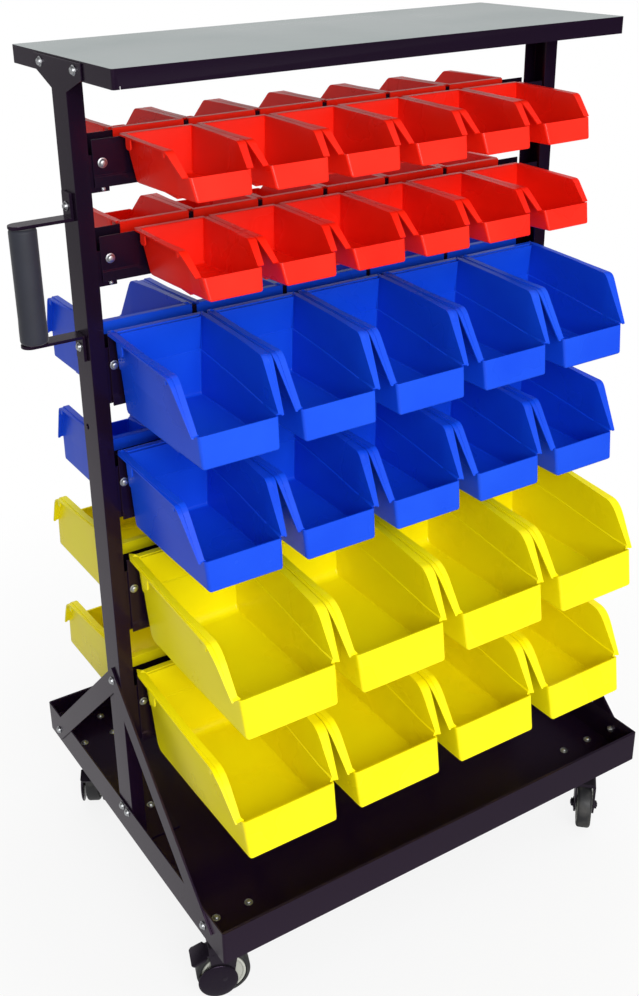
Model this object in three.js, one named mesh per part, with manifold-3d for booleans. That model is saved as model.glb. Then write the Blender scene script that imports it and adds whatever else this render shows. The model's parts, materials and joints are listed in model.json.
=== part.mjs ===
// A mobile bin cart: a tray on four swivel casters, two posts, a top shelf, six cross rails and
// plastic bins that hang on the rails on both sides. Millimetres, +Z up. The origin lies on the
// floor under the middle of the whole part. +X points away from the push handle, and the front
// bins face -Y.
import * as THREE from "three";
import { mergeVertices } from "three/addons/utils/BufferGeometryUtils.js";
import Module from "manifold-3d";

const wasm = await Module();
wasm.setup();

// Fits
const seat = 0.3; // clearance between pieces that touch
const bite = 0.5; // how far joined shapes of one piece run into each other
const overrun = 6; // how far a cutting shape passes the face that it opens

// Sheet steel of the frame
const sheet = 2;

// Top shelf
const shelfLength = 750;
const shelfDepth = 294;
const shelfHeight = 1245;
const shelfSkirt = 22;

// Posts: channels that stand outside the shelf's ends
const postWidth = 44;
const postFlange = 21;
const postOuter = shelfLength / 2 + seat + sheet;
const postFlangeTop = 26; // below the top of the shelf
const headWidth = 138;
const headTop = 2;
const headShoulder = 20;
const headNeck = 38;
const postHole = 8;
const postHoleSide = 9;
const postHoleDrop = 466;

// Base tray
const trayUnderside = 112;
const trayFlange = 52;
const trayDepth = 600;
const trayHem = 10;
const trayHalfLength = postOuter + seat + sheet;
const trayTop = trayUnderside + trayFlange;
const trayFloor = trayUnderside + sheet;

// Post feet on the tray's floor
const footReach = 66;
const footWidth = 76;

// Cross rails: folded troughs, open at the top
const railEndGap = 23.3; // to the post's web
const railHalfWidth = 22.3;
const railJoggle = 1.5;
const railJoggleHeight = 13;
const railHalfLength = postOuter - sheet - railEndGap;

// Brackets on the posts that carry the rails
const bracketReach = 43.3;
const bracketEndGap = 4; // to the rail's bottom web
const bracketTopGap = 18;
const railWebHalfLength = postOuter - sheet - bracketReach - bracketEndGap;

// Braces between post and tray
const braceWidth = 30;
const braceThickness = 3;
const braceTopHeight = 387;
const braceFootHeight = 140;
const braceFootSpread = 500;

// Push handle on the left post
const handleArmWidth = 24;
const handleBar = 4;
const handleArmSpacing = 145;
const handleDrop = 262.5; // from the top of the shelf to the middle of the grip
const handleMiddleHeight = shelfHeight - handleDrop;
const handleFootLength = 34;
const gripRadius = 17.5;
const gripBore = 5.3;
const gripStandOff = 62; // from the post's face to the middle of the grip

// Casters
const casterInsetX = 55;
const casterInsetY = 48;
const casterPlate = 68;
const casterPlateThickness = 2.8;
const casterTrail = 30;
const wheelRadius = 38;
const wheelWidth = 22;
const wheelRim = 7; // depth of the tread outside the wheel's side cover
const wheelDish = 2;
const wheelEdge = 3;
const wheelHubRadius = 11;
const axleRadius = 5;
const axleHead = 7.5;
const axleHeadLength = 3.5;
const forkSheet = 3;
const forkGap = 25.8; // between the fork's legs
const forkLegTop = 50;
const forkLegFoot = 11;
const forkHeight = 6; // thickness of the fork's crown
const raceRadius = 25;
const raceNeck = 21;
const wheelHeadroom = 10; // between wheel and crown
const roundSides = 24;
const smallSides = 12;
const hexagon = 6;
const legArcSteps = 5;

// Brake pedal of the two casters under the handle
const pedalPin = 3;
const pedalPinReach = 14; // from the wheel's axle outwards
const pedalPinDrop = 8; // below the crown
const pedalWidth = 34;
const pedalLength = 33;
const pedalNeck = 9;
const pedalPlate = 3;
const pedalAngle = THREE.MathUtils.degToRad(24);

// Hooks of the bins
const hookThickness = 2.7;
const hookLip = 14;
const hookLipThickness = 2.2;
const hookInset = 3;
const binGap = 1; // between the rims of neighbouring bins
const joinedRim = 0.1; // how far the rims of the rear rows pass the middle between two bins

// Kinds of bin. Reaches are measured outwards from the bin's back, drops down from its hook. The
// bins of a row share the length between the posts' webs, less the gap at each end of the row.
// Tapers are how much narrower the front is than the pitch.
const redBin = {
  colour: 0xe6190f,
  count: 6,
  endGap: 63.3,
  wall: 2,
  rim: 6,
  rimThickness: 2,
  draft: 7,
  backDrop: 58,
  railHeight: 57,
  bracketFoot: 6,
  bendReach: 118,
  bendDrop: 2,
  tipReach: 144,
  tipDrop: 27,
  lipReach: 152.4,
  lipDrop: 27.5,
  toeReach: 160,
  toeDrop: 55,
  lipTaper: 25,
  toeTaper: 32.3,
};
const blueBin = {
  colour: 0x0a3ad2,
  count: 5,
  endGap: 21.05,
  wall: 2.4,
  rim: 9,
  rimThickness: 2.4,
  draft: 6,
  backDrop: 111,
  railHeight: 96,
  bracketFoot: -3,
  bendReach: 161,
  bendDrop: 8,
  tipReach: 198,
  tipDrop: 66,
  lipReach: 202,
  lipDrop: 68,
  toeReach: 207,
  toeDrop: 110,
  lipTaper: 33,
  toeTaper: 35.7,
};
const yellowBin = {
  colour: 0xf5e100,
  count: 4,
  endGap: 26.5,
  wall: 2.6,
  rim: 10,
  rimThickness: 2.6,
  draft: 7,
  backDrop: 131,
  railHeight: 114,
  bracketFoot: -3,
  bendReach: 221,
  bendDrop: 20,
  tipReach: 258,
  tipDrop: 78,
  lipReach: 266,
  lipDrop: 78,
  toeReach: 276,
  toeDrop: 134,
  lipTaper: 33.8,
  toeTaper: 37.6,
};
const bins = [redBin, blueBin, yellowBin];
for (const bin of bins) {
  bin.pitch = (2 * (postOuter - sheet - bin.endGap)) / bin.count;
  bin.lipWidth = bin.pitch - bin.lipTaper;
  bin.toeWidth = bin.pitch - bin.toeTaper;
}
const creaseShare = 0.45; // of the bin's reach, where its sides begin to narrow
const tipRimShare = 0.85; // of the rim's width, left at its tip

// Rows from the top down. The height that the bins leave free between the tray and the shelf is
// shared out as clear height above each row's hooks and below the last row, in these shares.
// Shifts move the middle of a row's front or rear bins along X.
const rows = [
  { name: "red_upper", bin: redBin, headroomShare: 70, frontShift: -5, rearShift: 3 },
  { name: "red_lower", bin: redBin, headroomShare: 58, frontShift: 5, rearShift: 3 },
  { name: "blue_upper", bin: blueBin, headroomShare: 67, frontShift: 1, rearShift: 5 },
  { name: "blue_lower", bin: blueBin, headroomShare: 54, frontShift: 1, rearShift: 5 },
  { name: "yellow_upper", bin: yellowBin, headroomShare: 48, frontShift: 0, rearShift: 0 },
  { name: "yellow_lower", bin: yellowBin, headroomShare: 57, frontShift: -3, rearShift: 0 },
];
const trayShare = 105;
const freeHeight = rows.reduce((left, row) => left - row.bin.backDrop, shelfHeight - shelfSkirt - trayTop);
const shareHeight = freeHeight / rows.reduce((sum, row) => sum + row.headroomShare, trayShare);
let underside = shelfHeight - shelfSkirt;
for (const row of rows) {
  row.hookHeight = underside - row.headroomShare * shareHeight;
  underside = row.hookHeight - row.bin.backDrop;
  row.railTop = row.hookHeight - hookThickness - seat;
  row.railBottom = row.railTop - row.bin.railHeight;
}

// Places that several pieces share
const railFoot = railHalfWidth + railJoggle; // half width of a rail at its foot
const binBack = railFoot + seat; // from the cart's middle plane to a bin's back
const casterX = trayHalfLength - casterInsetX;
const casterY = trayDepth / 2 - casterInsetY;
const crownBottom = 2 * wheelRadius + wheelHeadroom;
const crownTop = crownBottom + forkHeight;
const plateBottom = trayUnderside - casterPlateThickness;
const gripX = -(postOuter + gripStandOff);
const handleEnd = gripX - gripRadius;
const middle = (handleEnd + trayHalfLength + braceThickness + seat) / 2;

const casters = [
  { name: "front_left", sideX: -1, sideY: -1, trailAngle: 160, brake: true },
  { name: "rear_left", sideX: -1, sideY: 1, trailAngle: 240, brake: true },
  { name: "front_right", sideX: 1, sideY: -1, trailAngle: 226, brake: false },
  { name: "rear_right", sideX: 1, sideY: 1, trailAngle: 200, brake: false },
];

// Materials
function paint() {
  return new THREE.MeshStandardMaterial({ color: 0x1d171f, roughness: 0.3, metalness: 0.1 });
}
function plastic(colour) {
  return new THREE.MeshStandardMaterial({ color: colour, roughness: 0.35, metalness: 0 });
}
function foam() {
  return new THREE.MeshStandardMaterial({ color: 0x2b2d33, roughness: 0.8, metalness: 0 });
}
function blackSteel() {
  return new THREE.MeshStandardMaterial({ color: 0x16131a, roughness: 0.4, metalness: 0.3 });
}
function wheelPlastic() {
  return new THREE.MeshStandardMaterial({ color: 0xb9bab2, roughness: 0.5, metalness: 0 });
}

// Solids
function solid(geometry) {
  const bare = geometry.index ? geometry.clone() : mergeVertices(geometry.clone());
  bare.deleteAttribute("normal");
  bare.deleteAttribute("uv");
  const merged = mergeVertices(bare);
  return new wasm.Manifold(
    new wasm.Mesh({
      numProp: 3,
      vertProperties: merged.attributes.position.array,
      triVerts: new Uint32Array(merged.index.array),
    }),
  );
}

function joined(solids) {
  return solids.reduce((whole, next) => whole.add(next));
}

function geometryOf(body) {
  const mesh = body.getMesh();
  return new THREE.BufferGeometry()
    .setAttribute("position", new THREE.BufferAttribute(mesh.vertProperties, 3))
    .setIndex(new THREE.BufferAttribute(mesh.triVerts, 1));
}

function block(x, y, z) {
  const size = [x, y, z].map(([low, high]) => high - low);
  const centre = [x, y, z].map(([low, high]) => (low + high) / 2);
  return solid(new THREE.BoxGeometry(...size).translate(...centre));
}

// The interval between two distances on the given side of zero
function span(side, near, far) {
  return [side * near, side * far].sort((a, b) => a - b);
}

function outline(points) {
  return new THREE.Shape(points.map(([across, up]) => new THREE.Vector2(across, up)));
}

// An outline of [y, z] points, extruded along X.
function alongX(points, [low, high]) {
  const turned = new THREE.Matrix4().makeBasis(
    new THREE.Vector3(0, 1, 0),
    new THREE.Vector3(0, 0, 1),
    new THREE.Vector3(1, 0, 0),
  );
  const geometry = new THREE.ExtrudeGeometry(outline(points), { depth: high - low, bevelEnabled: false });
  return solid(geometry.applyMatrix4(turned).translate(low, 0, 0));
}

// A shape in X and Z, extruded along Y.
function shapeAlongY(shape, [low, high], curveSegments = 1) {
  const geometry = new THREE.ExtrudeGeometry(shape, { depth: high - low, bevelEnabled: false, curveSegments });
  return solid(geometry.rotateX(Math.PI / 2).translate(0, high, 0));
}

function barAlongY(radius, [low, high], x, z, sides = smallSides) {
  const bar = new THREE.CylinderGeometry(radius, radius, high - low, sides);
  return solid(bar.translate(x, (low + high) / 2, z));
}

function barAlongX(radius, [low, high], y, z, sides = smallSides) {
  const bar = new THREE.CylinderGeometry(radius, radius, high - low, sides).rotateZ(Math.PI / 2);
  return solid(bar.translate((low + high) / 2, y, z));
}

// Triangles of a section, in the order in which its corners run. Two axes give its flat view.
function capFaces(section, [across, up]) {
  const flat = section.map((corner) => new THREE.Vector2(corner[across], corner[up]));
  const faces = THREE.ShapeUtils.triangulateShape(flat, []);
  return THREE.ShapeUtils.isClockWise(flat) ? faces.map((face) => face.reverse()) : faces;
}

// A body through sections that have the same number of corners. Their order turns
// counter-clockwise for a viewer who looks from the first section to the last.
function loft(sections, axes) {
  const corners = sections[0].length;
  const faces = capFaces(sections[0], axes).flat();
  for (let section = 0; section < sections.length - 1; section++) {
    for (let corner = 0; corner < corners; corner++) {
      const here = section * corners + corner;
      const beside = section * corners + ((corner + 1) % corners);
      faces.push(here, beside + corners, beside);
      faces.push(here, here + corners, beside + corners);
    }
  }
  const last = (sections.length - 1) * corners;
  for (const [first, second, third] of capFaces(sections.at(-1), axes)) {
    faces.push(last + first, last + third, last + second);
  }
  const geometry = new THREE.BufferGeometry()
    .setAttribute("position", new THREE.Float32BufferAttribute(sections.flat(2), 3))
    .setIndex(faces);
  return solid(geometry);
}

// Top shelf
function shelfBody() {
  const x = shelfLength / 2;
  const y = shelfDepth / 2;
  const top = shelfHeight;
  const inside = block([sheet - x, x - sheet], [sheet - y, y - sheet], [top - shelfSkirt - overrun, top - sheet]);
  return block([-x, x], [-y, y], [top - shelfSkirt, top]).subtract(inside);
}

// Base tray, with the casters' top plates under its corners
function trayBody() {
  const x = trayHalfLength;
  const y = trayDepth / 2;
  const inside = block([sheet - x, x - sheet], [sheet - y, y - sheet], [trayFloor, trayTop + overrun]);
  const pan = block([-x, x], [-y, y], [trayUnderside, trayTop]).subtract(inside);
  const hems = [-1, 1].map((side) => {
    const across = span(side, y - 2 * sheet, y - sheet + bite);
    return block([sheet - x - bite, x - sheet + bite], across, [trayTop - trayHem, trayTop]);
  });
  const half = casterPlate / 2;
  const plates = casters.map(({ sideX, sideY }) =>
    block(
      [sideX * casterX - half, sideX * casterX + half],
      [sideY * casterY - half, sideY * casterY + half],
      [plateBottom, trayUnderside + bite],
    ),
  );
  return joined([pan, ...hems, ...plates]);
}

// The post at the +X end: a channel with its head plate, foot tab and rail brackets
function postBody() {
  const half = postWidth / 2;
  const inner = postOuter - sheet;
  const bottom = trayFloor + seat;
  const web = alongX(
    [
      [-half, bottom],
      [half, bottom],
      [half, shelfHeight - headNeck],
      [headWidth / 2, shelfHeight - headShoulder],
      [headWidth / 2, shelfHeight - headTop],
      [-headWidth / 2, shelfHeight - headTop],
      [-headWidth / 2, shelfHeight - headShoulder],
      [-half, shelfHeight - headNeck],
    ],
    [inner, postOuter],
  );
  const flanges = [half - sheet, -half].map((low) =>
    block([postOuter - postFlange, inner + bite], [low, low + sheet], [bottom, shelfHeight - postFlangeTop]),
  );
  const tab = block(
    [inner - footReach, inner + bite],
    [-footWidth / 2, footWidth / 2],
    [bottom, bottom + sheet],
  );
  const brackets = rows.flatMap((row) => [bracket(row, 1), bracket(row, -1)]);
  const hole = barAlongX(
    postHole / 2,
    [inner - overrun, postOuter + overrun],
    -postHoleSide,
    shelfHeight - postHoleDrop,
  );
  return joined([web, ...flanges, tab, ...brackets]).subtract(hole);
}

// One plate of a rail's bracket, welded to the inside of the post's flange on that side
function bracket(row, side) {
  const outer = postWidth / 2 - sheet;
  const inner = railHalfWidth - sheet - seat - sheet;
  const heights = [row.railBottom - row.bin.bracketFoot, row.railTop - bracketTopGap];
  const web = postOuter - sheet + bite;
  const plate = block([web - bite - bracketReach, web], span(side, inner, outer), heights);
  const weld = block([postOuter - postFlange, web], span(side, outer - bite, outer + bite), heights);
  return plate.add(weld);
}

// A cross rail: a trough whose walls step outwards at the foot
function railBody(row) {
  const top = row.railTop;
  const foot = row.railBottom;
  const step = foot + railJoggleHeight;
  const outer = [
    [railHalfWidth, top],
    [railHalfWidth, step + railJoggle],
    [railFoot, step],
    [railFoot, foot],
  ];
  const inner = outer.map(([across, up], index) => [across - sheet, index === 3 ? foot + sheet : up]);
  const half = [...inner.slice().reverse(), ...outer];
  const mirrored = half.map(([across, up]) => [-across, up]).reverse();
  const section = [...mirrored, ...half];
  const trough = alongX(section.reverse(), [-railHalfLength, railHalfLength]);
  const relief = railFoot - sheet;
  const ends = [-1, 1].map((end) => {
    const along = span(end, railWebHalfLength, railHalfLength + overrun);
    return block(along, [-relief, relief], [foot - overrun, foot + 2 * sheet]);
  });
  return ends.reduce((body, end) => body.subtract(end), trough);
}

// One brace at the +X end, from the shared bolt on the post to the tray's side flange. It bends
// out from the post's face to the face of the flange.
function brace(side) {
  const spread = braceFootSpread / 2;
  const rise = braceTopHeight - braceFootHeight;
  const length = Math.hypot(spread, rise);
  const along = [spread / length, -rise / length];
  const across = [-along[1], along[0]];
  const pad = braceWidth / 2;
  const onPost = postOuter + seat;
  const onTray = trayHalfLength + seat;
  const clearOfPost = (postWidth / 2 + pad * Math.abs(across[0])) / along[0];
  const overTray = (braceTopHeight - trayTop - pad * Math.abs(across[1])) / -along[1];
  const stations = [
    [-pad, onPost],
    [clearOfPost, onPost],
    [overTray - pad, onTray],
    [length + pad, onTray],
  ];
  const quads = stations.map(([distance, face]) => {
    const y = along[0] * distance;
    const z = braceTopHeight + along[1] * distance;
    const low = [side * (y - across[0] * pad), z - across[1] * pad];
    const high = [side * (y + across[0] * pad), z + across[1] * pad];
    const [first, second] = side > 0 ? [low, high] : [high, low];
    return [
      [face, ...first],
      [face + braceThickness, ...first],
      [face + braceThickness, ...second],
      [face, ...second],
    ];
  });
  return loft(quads, [0, 2]);
}

function bracePair() {
  return brace(1).add(brace(-1));
}

// Handle: two bent arms with their feet on the left post, and the rod between them
function handleArm(side) {
  const face = -(postOuter + seat);
  const out = handleEnd + handleArmWidth / 2;
  const level = handleMiddleHeight + (side * handleArmSpacing) / 2;
  const half = handleArmWidth / 2;
  const [low, high] = [level, level + side * handleBar].sort((a, b) => a - b);
  const flat = block([out, face], [-half, half], [low, high]);
  const end = solid(
    new THREE.CylinderGeometry(half, half, handleBar, roundSides)
      .rotateX(Math.PI / 2)
      .translate(out, 0, (low + high) / 2),
  );
  const footEnds = [level, level + side * handleFootLength].sort((a, b) => a - b);
  const foot = block([face - handleBar, face], [-half, half], footEnds);
  return joined([flat, end, foot]);
}

function handleBracket() {
  const reach = handleArmSpacing / 2 + handleBar / 2;
  const rod = solid(
    new THREE.CylinderGeometry(gripBore - seat, gripBore - seat, 2 * reach, smallSides)
      .rotateX(Math.PI / 2)
      .translate(gripX, 0, handleMiddleHeight),
  );
  return joined([handleArm(1), handleArm(-1), rod]);
}

function gripGeometry() {
  const half = handleArmSpacing / 2 - seat;
  const profile = [
    [gripBore, -half],
    [gripRadius - wheelEdge / 2, -half],
    [gripRadius, wheelEdge / 2 - half],
    [gripRadius, half - wheelEdge / 2],
    [gripRadius - wheelEdge / 2, half],
    [gripBore, half],
    [gripBore, -half],
  ];
  const turned = new THREE.LatheGeometry(profile.map(([r, up]) => new THREE.Vector2(r, up)), roundSides);
  return turned.rotateX(Math.PI / 2);
}

// Caster fork about its own swivel axis, with the wheel trailing along +X
function forkBody(brake) {
  const legInner = forkGap / 2;
  const legOuter = legInner + forkSheet;
  const race = solid(
    new THREE.LatheGeometry(
      [
        [0, crownTop - bite],
        [raceNeck, crownTop - bite],
        [raceRadius, (crownTop + plateBottom) / 2],
        [raceRadius, plateBottom - seat],
        [0, plateBottom - seat],
      ].map(([r, up]) => new THREE.Vector2(r, up)),
      roundSides,
    ).rotateX(Math.PI / 2),
  );
  const leg = new THREE.Shape();
  leg.moveTo(-raceNeck, crownTop);
  leg.lineTo(-raceNeck, crownBottom - forkHeight);
  leg.absarc(casterTrail, wheelRadius, forkLegFoot, Math.PI, 2 * Math.PI, false);
  leg.lineTo(forkLegTop, crownBottom - forkHeight);
  leg.lineTo(forkLegTop, crownTop);
  const slot = block([-raceNeck - overrun, forkLegTop + overrun], [-legInner, legInner], [0, crownBottom]);
  const yoke = shapeAlongY(leg, [-legOuter, legOuter], legArcSteps).subtract(slot);
  const axle = barAlongY(axleRadius, [-legInner - bite, legInner + bite], casterTrail, wheelRadius);
  const heads = [-1, 1].map((side) => {
    const ends = span(side, legOuter - bite, legOuter + axleHeadLength);
    return barAlongY(axleHead, ends, casterTrail, wheelRadius, hexagon);
  });
  const fork = joined([race, yoke, axle, ...heads]);
  if (!brake) return fork;
  const bore = barAlongY(
    pedalPin + seat,
    [-legOuter - overrun, legOuter + overrun],
    casterTrail + pedalPinReach,
    crownBottom - pedalPinDrop,
  );
  return fork.subtract(bore);
}

function wheelGeometry() {
  const tread = wheelRadius / Math.cos(Math.PI / roundSides);
  const bore = (axleRadius + seat) / Math.cos(Math.PI / roundSides);
  const hub = forkGap / 2 - seat;
  const half = wheelWidth / 2;
  const side = [
    [bore, hub],
    [wheelHubRadius, hub],
    [wheelHubRadius, half - wheelDish],
    [tread - wheelRim, half - wheelDish],
    [tread - wheelEdge, half],
    [tread, half - wheelEdge],
  ];
  const other = side.map(([radius, across]) => [radius, -across]).reverse();
  const profile = [...side, ...other, side[0]].reverse();
  const turned = new THREE.LatheGeometry(profile.map(([r, up]) => new THREE.Vector2(r, up)), roundSides);
  return turned.rotateY(Math.PI / roundSides);
}

// Brake pedal: a pin through both legs and a plate that widens outside the fork
function pedalBody() {
  const x = casterTrail + pedalPinReach;
  const z = crownBottom - pedalPinDrop;
  const reach = forkGap / 2 + forkSheet + seat;
  const pin = barAlongY(pedalPin, [-reach, reach], x, z);
  const narrow = forkGap / 2 - seat;
  const stations = [
    [0, narrow],
    [pedalNeck, narrow],
    [pedalNeck + pedalPlate, pedalWidth / 2],
    [pedalLength - pedalPlate, pedalWidth / 2],
    [pedalLength, pedalWidth / 2 - pedalPlate],
  ];
  const quads = stations.map(([distance, half]) => {
    const [along, down] = [Math.cos(pedalAngle), Math.sin(pedalAngle)];
    const low = pedalPlate / 2;
    const at = (lift) => [x + distance * along + lift * down, z - distance * down + lift * along];
    const [lowX, lowZ] = at(-low);
    const [highX, highZ] = at(low);
    return [
      [lowX, half, lowZ],
      [lowX, -half, lowZ],
      [highX, -half, highZ],
      [highX, half, highZ],
    ];
  });
  return pin.add(loft(quads, [1, 2]));
}

// Bins, about the middle of their back at the height of the hook's top, reaching out along -Y

// Sections of a bin's outside, from its back to its front wall. The rim's outer edge keeps the
// given half width up to the bend, and runs out along the wall to a point from there.
function binSections(bin, rimHalf) {
  const back = (bin.pitch - binGap) / 2 - bin.rim;
  const crease = creaseShare * bin.toeReach;
  const narrowing = (reach, from, to) => {
    const share = Math.max(0, reach - crease) / (bin.toeReach - crease);
    return from + (to - from) * share;
  };
  const upright = (reach, drop, rim) => ({
    topReach: reach,
    topDrop: drop,
    topHalf: narrowing(reach, back, bin.lipWidth / 2),
    rimHalf: rim,
    floorReach: reach,
    floorDrop: bin.backDrop + ((bin.toeDrop - bin.backDrop) * reach) / bin.toeReach,
    floorHalf: narrowing(reach, back - bin.draft, bin.toeWidth / 2),
  });
  const tip = upright(bin.tipReach, bin.tipDrop);
  return [
    upright(0, 0, rimHalf),
    upright(crease, (bin.bendDrop * crease) / bin.bendReach, rimHalf),
    upright(bin.bendReach, bin.bendDrop, rimHalf),
    { ...tip, rimHalf: tip.topHalf + bin.rim * tipRimShare },
    {
      topReach: bin.lipReach,
      topDrop: bin.lipDrop,
      topHalf: bin.lipWidth / 2,
      rimHalf: (bin.lipWidth + bin.wall) / 2,
      floorReach: bin.toeReach,
      floorDrop: bin.toeDrop,
      floorHalf: bin.toeWidth / 2,
    },
  ];
}

// How far the front wall leans out for each millimetre down
function frontLean(bin) {
  return (bin.toeReach - bin.lipReach) / (bin.toeDrop - bin.lipDrop);
}

function outerSection(bin, section) {
  const upright = section.topReach === section.floorReach;
  const under = section.topReach + (upright ? 0 : frontLean(bin) * bin.rimThickness);
  const low = section.topDrop + bin.rimThickness;
  const half = [
    [section.rimHalf, -section.topReach, -section.topDrop],
    [section.rimHalf, -under, -low],
    [section.topHalf, -under, -low],
    [section.floorHalf, -section.floorReach, -section.floorDrop],
  ];
  return [...half, ...half.map(([x, y, z]) => [-x, y, z]).reverse()];
}

function innerSection(bin, section, inset) {
  const lean = inset > 0 ? frontLean(bin) : 0;
  const top = section.topReach - inset - lean * overrun;
  const floor = section.floorReach - inset - lean * bin.wall;
  const half = [
    [section.topHalf - bin.wall, -top, overrun - section.topDrop],
    [section.floorHalf - bin.wall, -floor, bin.wall - section.floorDrop],
  ];
  return [...half, ...half.map(([x, y, z]) => [-x, y, z]).reverse()];
}

function binHook(bin) {
  const half = bin.pitch / 2 - binGap / 2 - hookInset;
  const lipFace = binBack - (railHalfWidth - sheet - seat);
  const lipBack = lipFace + hookLipThickness;
  const hook = [
    [-bin.wall / 2, 0],
    [-bin.wall / 2, -hookThickness],
    [lipFace, -hookThickness],
    [lipFace, -hookThickness - hookLip],
    [lipBack, -hookThickness - hookLip],
    [lipBack, 0],
  ];
  return alongX(hook, [-half, half]);
}

function binBody(bin, rimHalf = (bin.pitch - binGap) / 2) {
  const sections = binSections(bin, rimHalf);
  const last = sections.length - 1;
  const insets = sections.map((_, index) => (index === 0 ? -bin.wall : index === last ? bin.wall : 0));
  const outside = sections.map((section) => outerSection(bin, section));
  const inside = sections.map((section, index) => innerSection(bin, section, insets[index]));
  return loft(outside, [0, 2]).subtract(loft(inside, [0, 2])).add(binHook(bin));
}

// A whole row of rear bins with their rims joined, facing +Y
function rearRowBody(row) {
  const { bin } = row;
  const one = binBody(bin, bin.pitch / 2 + joinedRim).rotate([0, 0, 180]);
  const places = binPlaces(bin);
  return joined(places.map((x) => one.translate([x, 0, 0])));
}

function binPlaces(bin) {
  return Array.from({ length: bin.count }, (_, index) => (index - (bin.count - 1) / 2) * bin.pitch);
}

// Assembly
const cart = new THREE.Group();
const centred = new THREE.Group();
centred.position.x = -middle;
cart.add(centred);

function place(name, geometry, material, parent = centred) {
  const mesh = new THREE.Mesh(geometry, material);
  mesh.name = name;
  parent.add(mesh);
  return mesh;
}

place("top_shelf", geometryOf(shelfBody()), paint());
place("base_tray", geometryOf(trayBody()), paint());
const postShape = geometryOf(postBody());
const braceShape = geometryOf(bracePair());
place("right_post", postShape, paint());
place("left_post", postShape, paint()).rotation.z = Math.PI;
place("right_braces", braceShape, paint());
place("left_braces", braceShape, paint()).rotation.z = Math.PI;
place("handle_bracket", geometryOf(handleBracket()), paint());
place("handle_grip", gripGeometry(), foam()).position.set(gripX, 0, handleMiddleHeight);

const binShapes = new Map(bins.map((bin) => [bin, geometryOf(binBody(bin))]));
for (const row of rows) {
  const { name, bin } = row;
  place(name + "_rail", geometryOf(railBody(row)), paint());
  binPlaces(bin).forEach((x, index) => {
    const mesh = place(name + "_bin_" + (index + 1), binShapes.get(bin), plastic(bin.colour));
    mesh.position.set(row.frontShift + x, -binBack, row.hookHeight);
  });
  const rear = place(name + "_rear_bins", geometryOf(rearRowBody(row)), plastic(bin.colour));
  rear.position.set(row.rearShift, binBack, row.hookHeight);
}

const wheelShape = wheelGeometry();
for (const { name, sideX, sideY, trailAngle, brake } of casters) {
  const caster = new THREE.Group();
  caster.position.set(sideX * casterX, sideY * casterY, 0);
  caster.rotation.z = THREE.MathUtils.degToRad(trailAngle);
  centred.add(caster);
  place(name + "_caster_fork", geometryOf(forkBody(brake)), blackSteel(), caster);
  place(name + "_wheel", wheelShape, wheelPlastic(), caster).position.set(casterTrail, 0, wheelRadius);
  if (brake) place(name + "_brake_pedal", geometryOf(pedalBody()), blackSteel(), caster);
}

export default cart;
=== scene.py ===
"""Dresses the packed frame of a mobile bin cart: moulded bins, painted steel, casters and bolts.

Metres, +Z up, +X away from the push handle. The single front bins face -Y.
"""

import json
import math
from contextlib import contextmanager

import bmesh
import bpy
from mathutils import Matrix, Vector


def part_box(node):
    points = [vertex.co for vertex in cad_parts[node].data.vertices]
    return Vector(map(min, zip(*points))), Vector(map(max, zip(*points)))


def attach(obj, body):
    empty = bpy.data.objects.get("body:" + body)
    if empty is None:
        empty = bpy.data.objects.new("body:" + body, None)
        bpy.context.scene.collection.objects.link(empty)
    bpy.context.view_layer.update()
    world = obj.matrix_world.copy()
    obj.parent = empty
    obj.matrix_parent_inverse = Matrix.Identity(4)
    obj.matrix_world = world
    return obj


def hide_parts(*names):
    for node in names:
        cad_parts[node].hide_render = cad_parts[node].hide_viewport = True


bl_info = {
    "name": "Mobile bin cart",
    "version": (1, 0, 0),
    "blender": (4, 5, 0),
    "location": "View3D > Sidebar > Bin cart",
    "description": "Models the pieces and finishes of a mobile bin cart around its packed frame",
    "category": "Object",
}

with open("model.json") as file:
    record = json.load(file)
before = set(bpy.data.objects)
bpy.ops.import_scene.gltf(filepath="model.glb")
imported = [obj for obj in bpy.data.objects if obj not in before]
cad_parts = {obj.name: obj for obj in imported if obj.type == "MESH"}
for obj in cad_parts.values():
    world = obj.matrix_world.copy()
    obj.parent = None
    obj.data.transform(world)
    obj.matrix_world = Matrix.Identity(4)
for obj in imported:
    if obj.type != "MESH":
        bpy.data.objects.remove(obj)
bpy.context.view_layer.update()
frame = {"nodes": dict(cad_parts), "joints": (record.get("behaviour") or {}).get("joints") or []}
MM = 0.001
SIDES = (-1, 1)

# Places that the frame gives
shelf_low, shelf_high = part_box("top_shelf")
tray_low, tray_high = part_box("base_tray")
post_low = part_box("left_post")[0]
right_post_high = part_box("right_post")[1]
MIDDLE_X = (shelf_low.x + shelf_high.x) / 2
BIN_COUNTS = {"red": 6, "blue": 5, "yellow": 4}
ROWS = [
    (f"{kind}_{place}", kind, count)
    for kind, count in BIN_COUNTS.items()
    for place in ("upper", "lower")
]
CASTERS = ("front_left", "rear_left", "front_right", "rear_right")
BRAKED = CASTERS[:2]

# Fits, and how far a direction agrees with an axis
SEAT = 0.3 * MM
MERGE = 0.02 * MM
ROUGHLY, ALONG, ACROSS = 0.9, 0.99, 0.1
FINE_SIDES, ROUND_SIDES, SMALL_SIDES = 96, 64, 28

# Sheet steel and the push handle's grip
STEEL_EDGE = 0.6 * MM
PAN_CORNER = 3.2 * MM
SLIT_PLACE, SLIT_WIDTH, SLIT_HEIGHT = 9 * MM, 1.6 * MM, 3.5 * MM
GRIP_WAIST = 0.975  # of the grip's radius, above its swollen lower end
GRIP_RING_SHARES = (0.12, 0.22)  # of the grip's height
GRIP_BORE, GRIP_ROUND = 5.5 * MM, 4.5 * MM

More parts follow.
